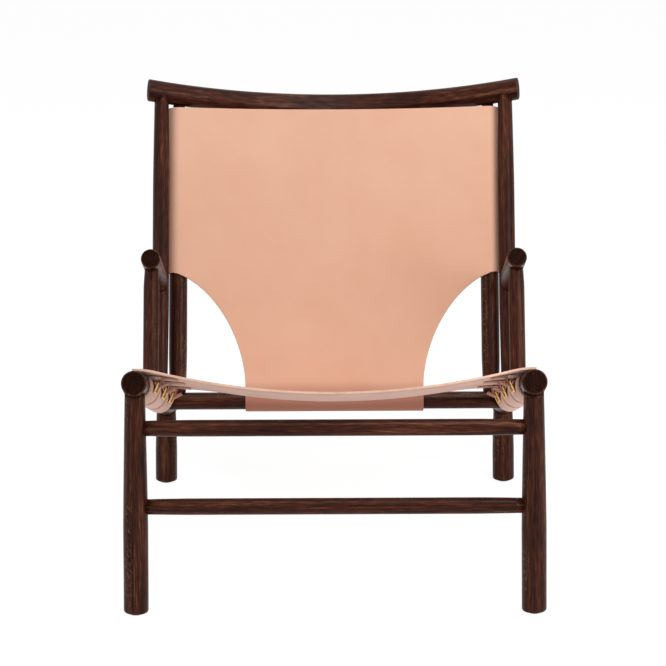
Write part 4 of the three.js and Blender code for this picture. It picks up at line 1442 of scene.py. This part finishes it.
@dataclass(frozen=True)
class SeatSling:
    """The seat's leather: a panel that laps the rails and hangs between them, with three tabs a side.

    Each tab goes round its rail to two ears, with a strap in the window between them. The arm posts stand in
    holes.
    """

    plan: Plan
    closure: Closure
    finishes: tuple[bpy.types.Material, ...]
    front: float = 12.0
    length: float = 534.0
    roll_front: float = 140.0
    roll_rear: float = 800.0
    drop_front: float = math.radians(13.5)
    drop_rear: float = math.radians(8.8)
    lap: float = math.radians(10.0)
    seam: float = math.radians(1.4)
    hole: float = 14.4
    ear_corner: float = 8.0
    corner_rows: tuple[float, ...] = (0.0, 0.6, 2.0, 4.5)
    stations: tuple[float, float, float] = (133.0, 303.0, 473.0)
    edge: float = 0.8
    row_step: float = 7.0
    hole_rows: int = 25
    hole_room: float = 0.3
    hung_columns: int = 40
    rolled_columns: int = 20
    wrap_columns: int = 36
    strap_step: float = 1.4
    # Painted shade on the straps past the tabs, standing in for the shadow under the seat.
    strap_painted_shade: float = 0.8

    def hang(self, station: Array) -> tuple[Array, Array, Array, Array]:
        """Where the panel leaves its roll over the rail.

        The drop angle and the roll's radius run evenly from front to rear. The roll is a circle below the
        rail's top.

        Args:
            station: Places along the rail.

        Returns:
            Half width, height, the hanging curve's second-order factor and the roll's radius.
        """
        share = (station - self.front) / self.length
        drop = self.drop_front + (self.drop_rear - self.drop_front) * share
        roll = self.roll_front + (self.roll_rear - self.roll_front) * share
        x = self.plan.rail_half - roll * np.sin(drop)
        up = self.closure.lap_radius - roll * (1 - np.cos(drop))
        return x, up, np.tan(drop) / (2 * x), roll

    def up(self, x: Array, station: Array) -> Array:
        """Height of the panel's middle surface: a hanging parabola, the roll's circle, then the lap's circle.

        Args:
            x: Distance from the chair's middle, not signed.
            station: Places along the rail.

        Returns:
            The heights above the rails' axes.
        """
        half, top, curve, roll = self.hang(station)
        lap = self.closure.lap_radius
        inward = self.plan.rail_half - x
        rolled = lap - roll + np.sqrt(roll ** 2 - np.clip(inward, 0, roll) ** 2)
        lapped = np.sqrt(np.maximum(lap ** 2 - np.minimum(inward, 0) ** 2, 0))
        hung = top - curve * (half ** 2 - x ** 2)
        return np.where(x < half, hung, np.where(inward >= 0, rolled, lapped))

    def away(self, rows: Array) -> Array:
        """Distance of each row from the nearest tab's middle."""
        return np.min(np.abs(rows[:, None] - np.array(self.stations)), axis=1)[:, None]

    def rows(self) -> Array:
        """Stations of the sheet's rows: breaks at tabs, ears, straps and slots, and fine rows at the holes.

        Returns:
            The stations in rising order.
        """
        close = self.closure
        corner = np.array([*self.corner_rows, self.ear_corner])
        halves = np.concatenate([
            [close.slot_half, close.strap_half], close.window_half + corner, close.tab_half - corner])
        breaks = [self.front, self.front + self.length]
        for station in self.stations:
            breaks += [*(station - halves), *(station + halves)]
        coarse = spaced(breaks, self.row_step)
        fine = self.plan.arm_post - self.hole * np.cos(np.linspace(0, math.pi, self.hole_rows))
        apart = np.abs(coarse - self.plan.arm_post) > self.hole + self.hole_room
        return np.sort(np.concatenate([coarse[apart], fine]))

    def panel_section(self, station: Array) -> tuple[Array, Array, Array]:
        """Half of the panel's section, from the middle to its edge or to a post's hole.

        Args:
            station: Places along the rail, as a column.

        Returns:
            Distance from the middle, height, and the angle round the rail at which a tab starts.
        """
        plan, lap = self.plan, self.closure.lap_radius
        half = self.hang(station)[0]
        chord = np.sqrt(np.maximum(self.hole ** 2 - (station - plan.arm_post) ** 2, 0))
        inner = np.where(chord > 0, chord, -lap * math.sin(self.lap))
        outer = np.maximum(chord, lap * math.sin(self.lap + self.seam))
        hung = half * np.linspace(0, 1, self.hung_columns)
        rolled = half + (plan.rail_half - inner - half) * np.linspace(0, 1, self.rolled_columns)[1:]
        x = np.concatenate([hung, rolled], axis=1)
        return x, self.up(x, station), math.pi / 2 + np.arcsin(outer / lap)

    def half_section(self, rows: Array) -> tuple[Array, Array, dict[str, int]]:
        """Half of every row's section, from the middle to the end of a strap or an ear.

        A tab is a circle round the rail. Past the angle at which the strap leaves, the rows of a strap follow
        the strap and all others the circle, up to the ear's rounded end.

        Args:
            rows: Stations.

        Returns:
            Distance from the middle, height, and the column at which each part ends.
        """
        close, away = self.closure, self.away(rows)
        lap = close.lap_radius
        panel, panel_up, start = self.panel_section(rows[:, None])
        wrap = start + (2 * math.pi + close.leave - start) * np.linspace(0, 1, self.wrap_columns)
        runs = spaced([0.0, close.slot_start, close.slot_end, close.tail_run], self.strap_step)[1:]
        strap_in, strap_up = close.strap_point(runs)
        inside = np.clip(np.minimum(away - close.window_half, close.tab_half - away), 0, self.ear_corner)
        short = self.ear_corner - np.sqrt(self.ear_corner ** 2 - (self.ear_corner - inside) ** 2)
        end = close.ear_end - short / lap
        ear = close.leave + (end - close.leave) * np.linspace(0, 1, len(runs) + 1)[1:]
        strapped = away < close.strap_half + NEAR
        last_in = np.where(strapped, strap_in, lap * np.cos(ear))
        last_up = np.where(strapped, strap_up, lap * np.sin(ear))
        inward = np.concatenate([lap * np.cos(wrap), last_in], axis=1)
        x = np.concatenate([panel, self.plan.rail_half - inward], axis=1)
        height = np.concatenate([panel_up, lap * np.sin(wrap), last_up], axis=1)
        tab = panel.shape[1] + wrap.shape[1]
        slot, slot_end = (tab + int(np.argmin(np.abs(runs - run)))
                          for run in (close.slot_start, close.slot_end))
        return x, height, {"panel": panel.shape[1], "tab": tab, "slot": slot, "slot_end": slot_end}

    def kept(self, rows: Array, columns: int, ends: dict[str, int]) -> tuple[Array, Array]:
        """Which cells of half the sheet are leather, and which of them belong to the panel.

        Args:
            rows: Stations.
            columns: Points in half a row.
            ends: The column at which each part ends.

        Returns:
            Two masks on a grid of cells.
        """
        close, column = self.closure, np.arange(columns - 1)[None, :]
        middle = (rows[:-1] + rows[1:]) / 2
        away, free = self.away(middle), (np.abs(middle - self.plan.arm_post) > self.hole)[:, None]
        panel, seam = column < ends["panel"] - 1, column == ends["panel"] - 1
        wrap, past = (column >= ends["panel"]) & (column < ends["tab"] - 1), column >= ends["tab"] - 1
        tab = away < close.tab_half
        slot = (column >= ends["slot"]) & (column < ends["slot_end"]) & (away < close.slot_half)
        strap = past & (away < close.strap_half) & ~slot
        ear = past & tab & (away > close.window_half)
        keep = panel | (seam & tab & free) | (wrap & tab) | ear | strap
        return keep, np.broadcast_to(panel, keep.shape)

    def build(self) -> Thing:
        """Builds the sheet with its tabs, ears, straps, slots and holes.

        Returns:
            The object.
        """
        close, rows = self.closure, self.rows()
        x, height, ends = self.half_section(rows)
        columns = x.shape[1]
        signed = np.concatenate([-x[:, :0:-1], x], axis=1)
        both = np.concatenate([height[:, :0:-1], height], axis=1)
        grid = self.plan.deck.at(signed, rows[:, None], both)
        keep, panel = self.kept(rows, columns, ends)
        keep, panel = (np.concatenate([part[:, ::-1], part], axis=1) for part in (keep, panel))
        made, used = sheet_object("seat_leather", grid, keep, self.finishes, np.where(panel, 0, 1))
        parts = ((ends["panel"], close.sheet), (ends["tab"] - ends["panel"], close.tab),
                 (columns - ends["tab"], close.strap))
        thin = np.concatenate([np.full(count, part / close.sheet) for count, part in parts])
        weights = np.broadcast_to(np.concatenate([thin[:0:-1], thin]), grid.shape[:2]).reshape(-1)[used]
        # Painted shade: the straps past the tabs are darkened to stand in for the shadow under the seat.
        strap_shade = np.where(np.arange(columns) < ends["tab"], 0.0, self.strap_painted_shade)
        strap_shade = np.concatenate([strap_shade[:0:-1], strap_shade])
        strap_shade = np.where(self.away(rows) < close.strap_half + NEAR, strap_shade, 0.0)
        painted_shade(made, strap_shade.reshape(-1)[used])
        thicken(made, close.sheet, self.edge, np.round(weights, 4))
        settle(made, CHAIR, "hide", "seat_sling")
        return made


@dataclass(frozen=True)
class Buckles:
    """Brass frames with their prongs, and the leather chapes that hold them under the seat."""

    closure: Closure
    seat: SeatSling
    brass: bpy.types.Material
    leather: tuple[bpy.types.Material, ...]
    bar_power: float = 0.8
    bar_sides: int = 20
    corner_steps: int = 9
    curl: float = math.radians(285)
    eye_sink: float = 0.2
    eye_steps: int = 32
    shank_steps: int = 16
    dip: float = 0.35
    dip_start: float = 12.0
    dip_run: float = 8.0
    tip_steps: int = 3
    prong_power: float = 0.6
    prong_sides: int = 20
    chape_bend: float = 2.6
    chape_edge: float = 0.5
    # Painted shade on the chapes, standing in for the shadow under the seat.
    chape_painted_shade: float = 0.55
    chape_step: float = 4.0
    flange_steps: int = 12
    bend_steps: int = 7
    neck_steps: int = 5
    loop_steps: int = 26
    slot_cells: int = 3

    def frame(self, side: Side, number: int, station: float) -> Thing:
        """The buckle's frame: a round bar carried along a rectangle with rounded corners.

        Args:
            side: Side of the chair.
            number: The closure's number.
            station: Its place along the rail.

        Returns:
            The object.
        """
        close = self.closure
        wide = close.strap_half + close.side_room + close.bar / 2
        tall = close.drop / 2
        bend = np.linspace(0, math.pi / 2, self.corner_steps)
        signs = np.array([[1, 1], [-1, 1], [-1, -1], [1, -1]])
        starts = np.arange(len(signs))[:, None] * math.pi / 2
        turn = (starts + bend).ravel()
        corner = np.repeat(signs * (np.array([wide, tall]) - close.corner), len(bend), axis=0)
        normal = np.stack([np.cos(turn), np.sin(turn)], axis=-1)
        path = corner + close.corner * normal
        round_by, out_by = oval(round_angles(self.bar_sides), self.bar_power)
        flat = path[:, None] + close.bar / 2 * round_by[:, None] * normal[:, None]
        out = close.frame_out + close.bar / 2 * np.broadcast_to(out_by, flat.shape[:2])
        inward, up = close.point((close.far_run + close.heel_run) / 2 + flat[..., 1], out)
        points = close.place(side, station, inward, flat[..., 0], up)
        count, sides = points.shape[:2]
        i, j = np.meshgrid(np.arange(count), np.arange(sides), indexing="ij")
        k, m = (i + 1) % count, (j + 1) % sides
        quads = np.stack([i * sides + j, i * sides + m, k * sides + m, k * sides + j], axis=-1)
        node = f"buckle_{side.label}_{number}"
        made = put_mesh(f"{node}_cast", points, quads.reshape(-1, 4).tolist(), [self.brass])
        return settle(made, CHAIR, "brass", node)

    def prong(self, side: Side, number: int, station: float) -> Thing:
        """The prong: a flat strip that curls round the heel bar and runs over the far bar.

        In the buckle's axes about the heel it is an arc of the eye's radius and then a line that dips a
        little to the far bar, with an oval section that narrows at both ends.

        Args:
            side: Side of the chair.
            number: The closure's number.
            station: Its place along the rail.

        Returns:
            The object.
        """
        close = self.closure
        eye = close.eye_bore + close.prong_thickness / 2 - self.eye_sink
        curl = np.linspace(self.curl, 0, self.eye_steps)
        tip = -(close.heel_run - (close.far_run - close.bar / 2 - close.overhang))
        shank = np.linspace(0, tip, self.shank_steps)[1:]
        run = np.concatenate([eye * np.sin(curl), shank])
        lower = np.clip((-shank - self.dip_start) / self.dip_run, 0, 1) ** 2 * self.dip
        out = np.concatenate([eye * np.cos(curl), eye - lower])
        path = np.stack([run, out], axis=-1)
        heading = np.gradient(path, axis=0)
        heading /= np.linalg.norm(heading, axis=1, keepdims=True)
        across = np.stack([-heading[:, 1], heading[:, 0]], axis=-1)
        ease = np.sqrt(np.clip(1 - np.linspace(0, 1, self.tip_steps + 2)[1:-1] ** 2, 0, 1))
        size = np.ones(len(path))
        size[-self.tip_steps:] = ease
        size[:self.tip_steps] = ease[::-1]
        angle = round_angles(self.prong_sides)
        wide, deep = oval(angle, self.prong_power)
        wide = wide * close.prong_width / 2
        deep = deep * close.prong_thickness / 2
        flat = path[:, None] + size[:, None, None] * deep[:, None] * across[:, None]
        along = size[:, None] * wide
        ends = [np.repeat(flat[k].mean(axis=0)[None], len(angle), axis=0)[None] for k in (0, -1)]
        flat = np.concatenate([ends[0], flat, ends[1]])
        none = np.zeros((1, len(angle)))
        along = np.concatenate([none, along, none])
        inward, up = close.point(close.heel_run + flat[..., 0], close.frame_out + flat[..., 1])
        points = close.place(side, station, inward, along, up)
        node = f"prong_{side.label}_{number}"
        return settle(capped(f"{node}_cast", points, [self.brass]), node, "brass", node)

    def chape(self, side: Side, number: int, station: float) -> Thing:
        """The chape: a leather strip that lies under the seat, drops to the heel bar and loops round it.

        Args:
            side: Side of the chair.
            number: The closure's number.
            station: Its place along the rail.

        Returns:
            The object.
        """
        close, seat = self.closure, self.seat
        heel_in, heel_up = close.heel
        loop = close.eye_bore + close.chape / 2
        neck_in = heel_in + loop
        below = (close.sheet + close.chape) / 2 + 2 * FIT
        bend = self.chape_bend
        inward = np.linspace(neck_in + close.flange, neck_in + bend, self.flange_steps)
        near = np.array(station - close.strap_half)
        up = seat.up(self.closure.plan.rail_half - inward, near) - below / math.cos(seat.drop_front)
        turn = np.linspace(math.pi / 2, math.pi, self.bend_steps)[1:]
        corner_in = neck_in + bend + bend * np.cos(turn)
        corner_up = up[-1] - bend + bend * np.sin(turn)
        neck_up = np.linspace(corner_up[-1], heel_up, self.neck_steps + 1)[1:]
        neck = np.full(self.neck_steps, neck_in)
        curl = np.linspace(0, -self.curl, self.loop_steps)[1:]
        path_in = np.concatenate([inward, corner_in, neck, heel_in + loop * np.cos(curl)])
        path_up = np.concatenate([up, corner_up, neck_up, heel_up + loop * np.sin(curl)])
        breaks = [-close.strap_half, -close.slot_half, close.slot_half, close.strap_half]
        rows = spaced(breaks, self.chape_step)
        grid = close.place(side, station, path_in[None], rows[:, None], path_up[None])
        middle = (rows[:-1] + rows[1:])[:, None] / 2
        looped = np.arange(len(path_in) - 1)[None] >= len(path_in) - len(curl) - self.slot_cells
        keep = ~((np.abs(middle) < close.slot_half) & looped)
        if side is Side.LEFT:
            grid, keep = grid[::-1], keep[::-1]
        node = f"chape_{side.label}_{number}"
        made, used = sheet_object(f"{node}_leather", grid, keep, self.leather)
        # Painted shade: the whole chape is darkened evenly to stand in for the shadow under the seat.
        painted_shade(made, np.full(len(used), self.chape_painted_shade))
        thicken(made, close.chape, self.chape_edge)
        settle(made, CHAIR, "flesh", node)
        return made

    def build(self) -> None:
        """Builds the three closures of each side."""
        for side in Side:
            for number, station in enumerate(self.seat.stations, start=1):
                self.frame(side, number, station)
                self.prong(side, number, station)
                self.chape(side, number, station)


@dataclass(frozen=True)
class BackSling:
    """The back's leather: a sagging panel with two cut-outs, two sleeves and a tongue.

    The sleeves go round the uprights and the tongue round the cross rail. Each of these ends is sewn flat
    behind the panel.
    """

    plan: Plan
    finishes: tuple[bpy.types.Material, ...]
    thickness: float = 3.2
    sleeve: float = 18.6
    loop: float = 17.7
    sag: float = 24.0
    top: float = 536.5
    corner: float = 233.0
    neck: float = 26.0
    tongue: float = 160.0
    corner_x: float = 302.8
    power: float = 1.76
    curl: float = math.radians(222.0)
    lap_start: float = 34.0
    lap_length: float = 22.0
    lap_gap: float = 0.2
    edge: float = 0.8
    tight: float = 26.0
    hem_power: float = 0.6
    # Painted shade on the tongue's loop round the cross rail: how far above the neck it starts, and the run
    # over which it fades.
    shade_above: float = 8.0
    shade_run: float = 30.0
    columns: int = 75
    cut_rows: int = 30
    above_rows: int = 41
    neck_rows: int = 5
    ring_rows: int = 33
    cross_steps: int = 8
    lap_steps: int = 7
    sleeve_columns: int = 43

    @property
    def turn(self) -> float:
        """Angle at which the panel leaves an upright."""
        return math.atan(2 * self.sag / self.plan.upright_half)

    @property
    def half(self) -> float:
        """Half width of the panel where it leaves the uprights."""
        return self.plan.upright_half - self.sleeve * math.sin(self.turn)

    def behind(self, x: Array, up: Array) -> Array:
        """How far the panel's middle surface stands behind the uprights' plane.

        It sags by sag * s * (1 - (x / half)^2), where s rises smoothly from the cross rail to the corner.

        Args:
            x: Across.
            up: Up the uprights.

        Returns:
            The distances.
        """
        share = np.clip(up / self.corner, 0, 1)
        grown = share * share * (3 - 2 * share)
        front = self.loop + (self.sleeve * math.cos(self.turn) - self.loop) * grown
        return self.sag * grown * (1 - np.square(x / self.half)) - front

    def outline(self) -> tuple[Array, Array]:
        """Half width and height of the panel's rows: a superellipse beside a cut-out, then the full width.

        Returns:
            Half widths and heights.
        """
        reach = self.corner_x - self.tongue
        last = math.acos(((self.corner_x - self.half) / reach) ** (self.power / 2))
        angle = np.linspace(0, last, self.cut_rows)
        width = self.corner_x - reach * np.cos(angle) ** (2 / self.power)
        up = self.neck + (self.corner - self.neck) * np.sin(angle) ** (2 / self.power)
        above = np.linspace(up[-1], self.top, self.above_rows + 1)[1:]
        width = np.concatenate([width, np.full(self.above_rows, self.half)])
        return width, np.concatenate([up, above])

    def panel_grid(self) -> tuple[Array, Array, Array, int]:
        """Points of the panel and the tongue.

        Returns:
            Across, behind and up on a rows by columns grid, and the row at which the sleeves start.
        """
        share = np.linspace(-1, 1, self.columns)[None]
        width, up = self.outline()
        up_front = np.concatenate([np.linspace(0, self.neck, self.neck_rows + 1)[:-1], up])[:, None]
        x_front = share * np.concatenate([np.full(self.neck_rows, self.tongue), width])[:, None]
        behind_front = self.behind(x_front, up_front)
        x_tongue = share * self.tongue
        ring = np.linspace(self.curl, 0, self.ring_rows + 1)[:-1, None]
        ring_behind, ring_up = -self.loop * np.cos(ring), -self.loop * np.sin(ring)
        lap_up = np.linspace(self.lap_start + self.lap_length, self.lap_start, self.lap_steps)[:, None]
        lap_behind = self.behind(x_tongue, lap_up) + self.thickness + self.lap_gap
        share_back = np.linspace(0, 1, self.cross_steps + 2)[1:-1, None]
        tight = self.tight
        back_behind = hermite(lap_behind[-1], ring_behind[0], 0.0, tight * math.sin(self.curl), share_back)
        back_up = hermite(lap_up[-1], ring_up[0], -tight, tight * math.cos(self.curl), share_back)
        like = np.ones_like(x_tongue)
        tongue_rows = self.lap_steps + self.cross_steps + self.ring_rows
        x = np.concatenate([np.repeat(x_tongue, tongue_rows, axis=0), x_front])
        behind = np.concatenate([lap_behind, back_behind * like, ring_behind * like, behind_front])
        height = np.concatenate([part * like for part in (lap_up, back_up, ring_up, up_front)])
        return x, behind, height, tongue_rows + self.neck_rows + self.cut_rows - 1

    def sleeve_section(self) -> tuple[Array, Array]:
        """Section of a sleeve past the panel's edge, for the right upright.

        It goes round the upright as a circle, crosses to the panel's back as a cubic, and ends in a flat lap.

        Returns:
            Across and behind.
        """
        angle = np.linspace(-self.turn, self.curl, self.sleeve_columns + 1)[1:]
        ring_x = self.plan.upright_half + self.sleeve * np.sin(angle)
        ring_behind = -self.sleeve * np.cos(angle)
        lap_first = self.plan.upright_half - self.lap_start
        lap_x = np.linspace(lap_first, lap_first - self.lap_length, self.lap_steps)
        lap_behind = self.behind(lap_x, np.array(self.top)) + self.thickness + self.lap_gap
        share = np.linspace(0, 1, self.cross_steps + 2)[1:-1]
        tight = self.tight
        slope = 2 * self.sag * lap_x[0] / self.half ** 2
        way = unit(np.array([-1.0, slope])) * tight
        cross_x = hermite(ring_x[-1], lap_x[0], tight * math.cos(self.curl), way[0], share)
        cross_behind = hermite(ring_behind[-1], lap_behind[0], tight * math.sin(self.curl), way[1], share)
        across = np.concatenate([ring_x, cross_x, lap_x])
        return across, np.concatenate([ring_behind, cross_behind, lap_behind])

    def build(self) -> Thing:
        """Builds the sheet, whose lower hem rises round each sleeve.

        Returns:
            The object.
        """
        x, behind, up, start = self.panel_grid()
        sleeve_x, sleeve_behind = self.sleeve_section()
        rise = np.clip((sleeve_x - self.half) / (self.corner_x - self.half), 0, 1) ** self.hem_power
        rise = np.maximum.accumulate(rise)
        row_up = up[start:, -1:]
        low = row_up[0] + (self.corner - row_up[0]) * rise
        sleeve_up = self.top - (self.top - row_up) * (self.top - low) / (self.top - row_up[0])
        count = len(sleeve_x)
        shape = (len(up), count)
        full_up = np.zeros(shape)
        full_up[start:] = sleeve_up
        side_x, side_behind = np.broadcast_to(sleeve_x, shape), np.broadcast_to(sleeve_behind, shape)
        grid_x = np.concatenate([-side_x[:, ::-1], x, side_x], axis=1)
        grid_behind = np.concatenate([side_behind[:, ::-1], behind, side_behind], axis=1)
        grid_up = np.concatenate([full_up[:, ::-1], up, full_up], axis=1)
        grid = self.plan.back.at(grid_x, grid_behind, grid_up)
        rows, columns = grid.shape[0] - 1, grid.shape[1] - 1
        column, row = np.arange(columns)[None], np.arange(rows)[:, None]
        inner = (column >= count) & (column < columns - count)
        keep = inner | (row >= start)
        made, used = sheet_object("back_leather", grid, np.broadcast_to(keep, (rows, columns)), self.finishes)
        # Painted shade: the tongue darkens towards and round its loop on the cross rail, which lies in shadow
        # under the seat.
        bent = np.clip((self.neck + self.shade_above - grid_up) / self.shade_run, 0, 1)
        bent = bent * (np.abs(grid_x) <= self.tongue + NEAR)
        painted_shade(made, bent.reshape(-1)[used])
        thicken(made, self.thickness, self.edge)
        settle(made, CHAIR, "hide", "back_sling")
        return made


@dataclass(frozen=True)
class Stitching:
    """Rows of stitches along the laps behind the back and along the seat's tabs."""

    seat: SeatSling
    back: BackSling
    thread: bpy.types.Material
    pitch: float = 8.0
    half_length: float = 2.6
    half_width: float = 0.55
    rise: float = 0.4
    edge: float = 5.0
    margin: float = 9.0
    ring_places: tuple[float, ...] = (-0.99, -0.5, 0.0, 0.5, 0.99)
    sides: int = 6

    def places(self, low: float, high: float) -> Array:
        """Middles of the stitches of a row between two places."""
        return np.linspace(low, high, int((high - low) / self.pitch) + 1)

    def sew(self, name: str, middles: Array, along: Array, out: Array) -> Thing:
        """One mesh of stitches: middle + along * sin(a) + cos(a) * (side * cos(b) + out * sin(b)) for each.

        Args:
            name: The object's name.
            middles: Points on the leather.
            along: Unit direction of each thread.
            out: Unit direction out of the leather.

        Returns:
            The object.
        """
        a = np.array(self.ring_places)[:, None, None] * math.pi / 2
        b = round_angles(self.sides)[None, :, None]
        middles, along, out = (part[:, None, None] for part in np.broadcast_arrays(middles, along, out))
        ring = self.half_width * np.cos(b) * np.cross(out, along) + self.rise * np.sin(b) * out
        points = middles + self.half_length * np.sin(a) * along + np.cos(a) * ring
        rings, sides = points.shape[1:3]
        poles = points[:, [0, -1]].mean(axis=2)
        points = np.concatenate([points[:, 1:-1].reshape(len(points), -1, 3), poles], axis=1)
        shell = capped_faces(rings - 2, sides)
        offset = (np.arange(len(points)) * points.shape[1])[:, None, None]
        split = (rings - 3) * sides
        quads, caps = (np.array(part)[None] + offset for part in (shell[:split], shell[split:]))
        faces = quads.reshape(-1, 4).tolist() + caps.reshape(-1, 3).tolist()
        made = put_mesh(name, points, faces, [self.thread])
        return settle(made, CHAIR, "hide")

    def back_rows(self) -> None:
        """Rows along the laps of both sleeves and of the tongue."""
        back, frame_of = self.back, self.back.plan.back
        up = self.places(back.corner + self.margin, back.top - self.margin)
        free = back.lap_start + back.lap_length - self.edge
        skin = 1.5 * back.thickness + back.lap_gap
        x = back.plan.upright_half - free
        behind = float(back.behind(np.array(x), np.array(back.top))) + skin
        for side in Side:
            self.sew(f"sleeve_{side.label}_stitches", frame_of.at(side.value * x, behind, up),
                     frame_of.way(0, 0, 1), frame_of.way(0, 1, 0))
        across = self.places(-back.tongue + self.margin, back.tongue - self.margin)
        self.sew("tongue_stitches", frame_of.at(across, back.behind(across, np.array(free)) + skin, free),
                 frame_of.way(1, 0, 0), frame_of.way(0, 1, 0))

    def seat_rows(self) -> None:
        """A row along each tab, on the panel's edge over the rail."""
        seat, close, deck = self.seat, self.seat.closure, self.seat.plan.deck
        skin = close.lap_radius + close.sheet / 2
        reach = close.tab_half - self.margin
        rows = [self.places(station - reach, station + reach) for station in seat.stations]
        station = np.concatenate(rows)
        station = station[np.abs(station - seat.plan.arm_post) > seat.hole + self.pitch / 2]
        for side in Side:
            self.sew(f"tabs_{side.label}_stitches", deck.at(side.value * seat.plan.rail_half, station, skin),
                     deck.way(0, 1, 0), deck.way(0, 0, 1))

    def build(self) -> None:
        """Sews every row."""
        self.back_rows()
        self.seat_rows()


# Studio


@dataclass(frozen=True)
class SoftLamp:
    """A square area lamp that points at the middle of the chair, in metres and watts."""

    name: str
    place: tuple[float, float, float]
    watts: float
    size: float
    aim: tuple[float, float, float] = (0.0, 0.0, 0.35)

    def build(self) -> None:
        """Hangs the lamp and turns it to its aim."""
        data = bpy.data.lights.new(self.name, "AREA")
        data.energy = self.watts
        data.size = self.size
        made = bpy.data.objects.new(self.name, data)
        made.rotation_euler = (Vector(self.aim) - Vector(self.place)).to_track_quat("-Z", "Y").to_euler()
        made.location = self.place
        bpy.context.scene.collection.objects.link(made)


@dataclass(frozen=True)
class Studio:
    """Floor, soft lamps and the camera at the photograph's angle."""

    lens_px: float = 2400.0
    frame_px: float = 666.0
    sensor_mm: float = 36.0
    eye: tuple[float, float, float] = (0.0025, -3.9997, 1.4445)
    pitch: float = 15.2
    yaw: float = 0.065
    roll: float = -0.26
    clip_end: float = 200.0
    floor_half: float = 40.0
    floor_seen: tuple[float, float] = (0.93, 0.2)
    floor_bounced: tuple[float, float] = (0.3, 0.86)
    room: float = 0.26
    lamps: tuple[SoftLamp, ...] = (
        SoftLamp("key_lamp", (0.4, -0.8, 3.5), 49.0, 1.3),
        SoftLamp("left_lamp", (-1.7, -0.9, 1.1), 4.5, 1.2),
        SoftLamp("right_lamp", (1.3, -1.2, 1.1), 15.5, 1.0))

    def camera(self) -> None:
        """Places the camera: yaw about Z, then pitch, then roll about its own axis."""
        data = bpy.data.cameras.new("photo_camera")
        data.sensor_width = self.sensor_mm
        data.lens = self.lens_px / self.frame_px * self.sensor_mm
        data.clip_end = self.clip_end
        made = bpy.data.objects.new("photo_camera", data)
        yaw = Matrix.Rotation(math.radians(self.yaw), 4, "Z")
        pitch = Matrix.Rotation(math.radians(90 - self.pitch), 4, "X")
        roll = Matrix.Rotation(math.radians(self.roll), 4, "Z")
        made.matrix_world = Matrix.Translation(self.eye) @ (yaw @ pitch @ roll)
        bpy.context.scene.collection.objects.link(made)
        bpy.context.scene.camera = made

    def seen(self, tree: bpy.types.NodeTree) -> bpy.types.NodeSocket:
        """One for rays from the camera, from a gloss or through a clear surface, and nought for all others.

        Args:
            tree: The node tree.

        Returns:
            The value socket.
        """
        rays = add_node(tree, "ShaderNodeLightPath").outputs
        gloss = add_node(tree, "ShaderNodeMath", {
            0: rays["Is Glossy Ray"], 1: rays["Is Transmission Ray"]}, operation="MAXIMUM")
        return add_node(tree, "ShaderNodeMath", {
            0: rays["Is Camera Ray"], 1: gloss.outputs[0]}, operation="MAXIMUM").outputs[0]

    def floor(self) -> None:
        """A white floor that glows where it is seen, with a faint shadow, and bounces mostly matt light."""
        half = self.floor_half / MM
        corners = np.array([[-half, -half, 0], [half, -half, 0], [half, half, 0], [-half, half, 0]])
        made, tree = blank("white_studio_floor")
        seen = self.seen(tree)
        glow, matt = (
            add_node(tree, "ShaderNodeMapRange", {
                "Value": seen, "To Min": bounced, "To Max": direct}).outputs[0]
            for bounced, direct in zip(self.floor_bounced, self.floor_seen))
        shade = add_node(tree, "ShaderNodeCombineColor", {"Red": matt, "Green": matt, "Blue": matt})
        matt = add_node(tree, "ShaderNodeBsdfDiffuse", {"Color": shade.outputs[0]})
        white = add_node(tree, "ShaderNodeEmission", {"Color": (1.0, 1.0, 1.0, 1.0), "Strength": glow})
        both = add_node(tree, "ShaderNodeAddShader", {0: matt.outputs[0], 1: white.outputs[0]})
        add_node(tree, "ShaderNodeOutputMaterial", {"Surface": both.outputs[0]})
        floor = put_mesh("studio_floor", corners, [[0, 1, 2, 3]], [made], closed=False)

    def world(self) -> None:
        """Even light all round, and plain white where it is seen."""
        world = bpy.data.worlds.new("soft_white_room")
        bpy.context.scene.world = world
        world.use_nodes = True
        tree = world.node_tree
        tree.nodes.clear()
        strength = add_node(tree, "ShaderNodeMapRange", {
            "Value": self.seen(tree), "To Min": self.room, "To Max": 1.0})
        light = add_node(tree, "ShaderNodeBackground", {
            "Color": (1.0, 1.0, 1.0, 1.0), "Strength": strength.outputs[0]})
        add_node(tree, "ShaderNodeOutputWorld", {"Surface": light.outputs[0]})

    def build(self) -> None:
        """Builds the studio."""
        self.camera()
        self.floor()
        self.world()
        for lamp in self.lamps:
            lamp.build()
        bpy.context.scene.view_settings.view_transform = "Standard"


def main() -> None:
    """Builds the chair in order: frame, leather, buckles, stitches, studio."""
    logging.basicConfig(level=logging.INFO, format="%(message)s")
    plan = Plan()
    oak = [SmokedOak().material(), END_GRAIN.material()]
    brass, nylon = CastBrass().material(), MouldedNylon().material()
    grain, flesh, cut = SaddleLeather().material(), FLESH_SIDE.material(), CUT_EDGE.material()
    SeatFrame(plan, oak, nylon).build()
    BackFrame(plan, oak).build()
    closure = Closure(plan)
    seat = SeatSling(plan, closure, (grain, flesh, cut, cut))
    seat.build()
    back = BackSling(plan, (grain, flesh, cut))
    back.build()
    Buckles(closure, seat, brass, (flesh, flesh, cut)).build()
    Stitching(seat, back, WaxedLinen().material()).build()
    Studio().build()


if __name__ == "__main__":
    main()
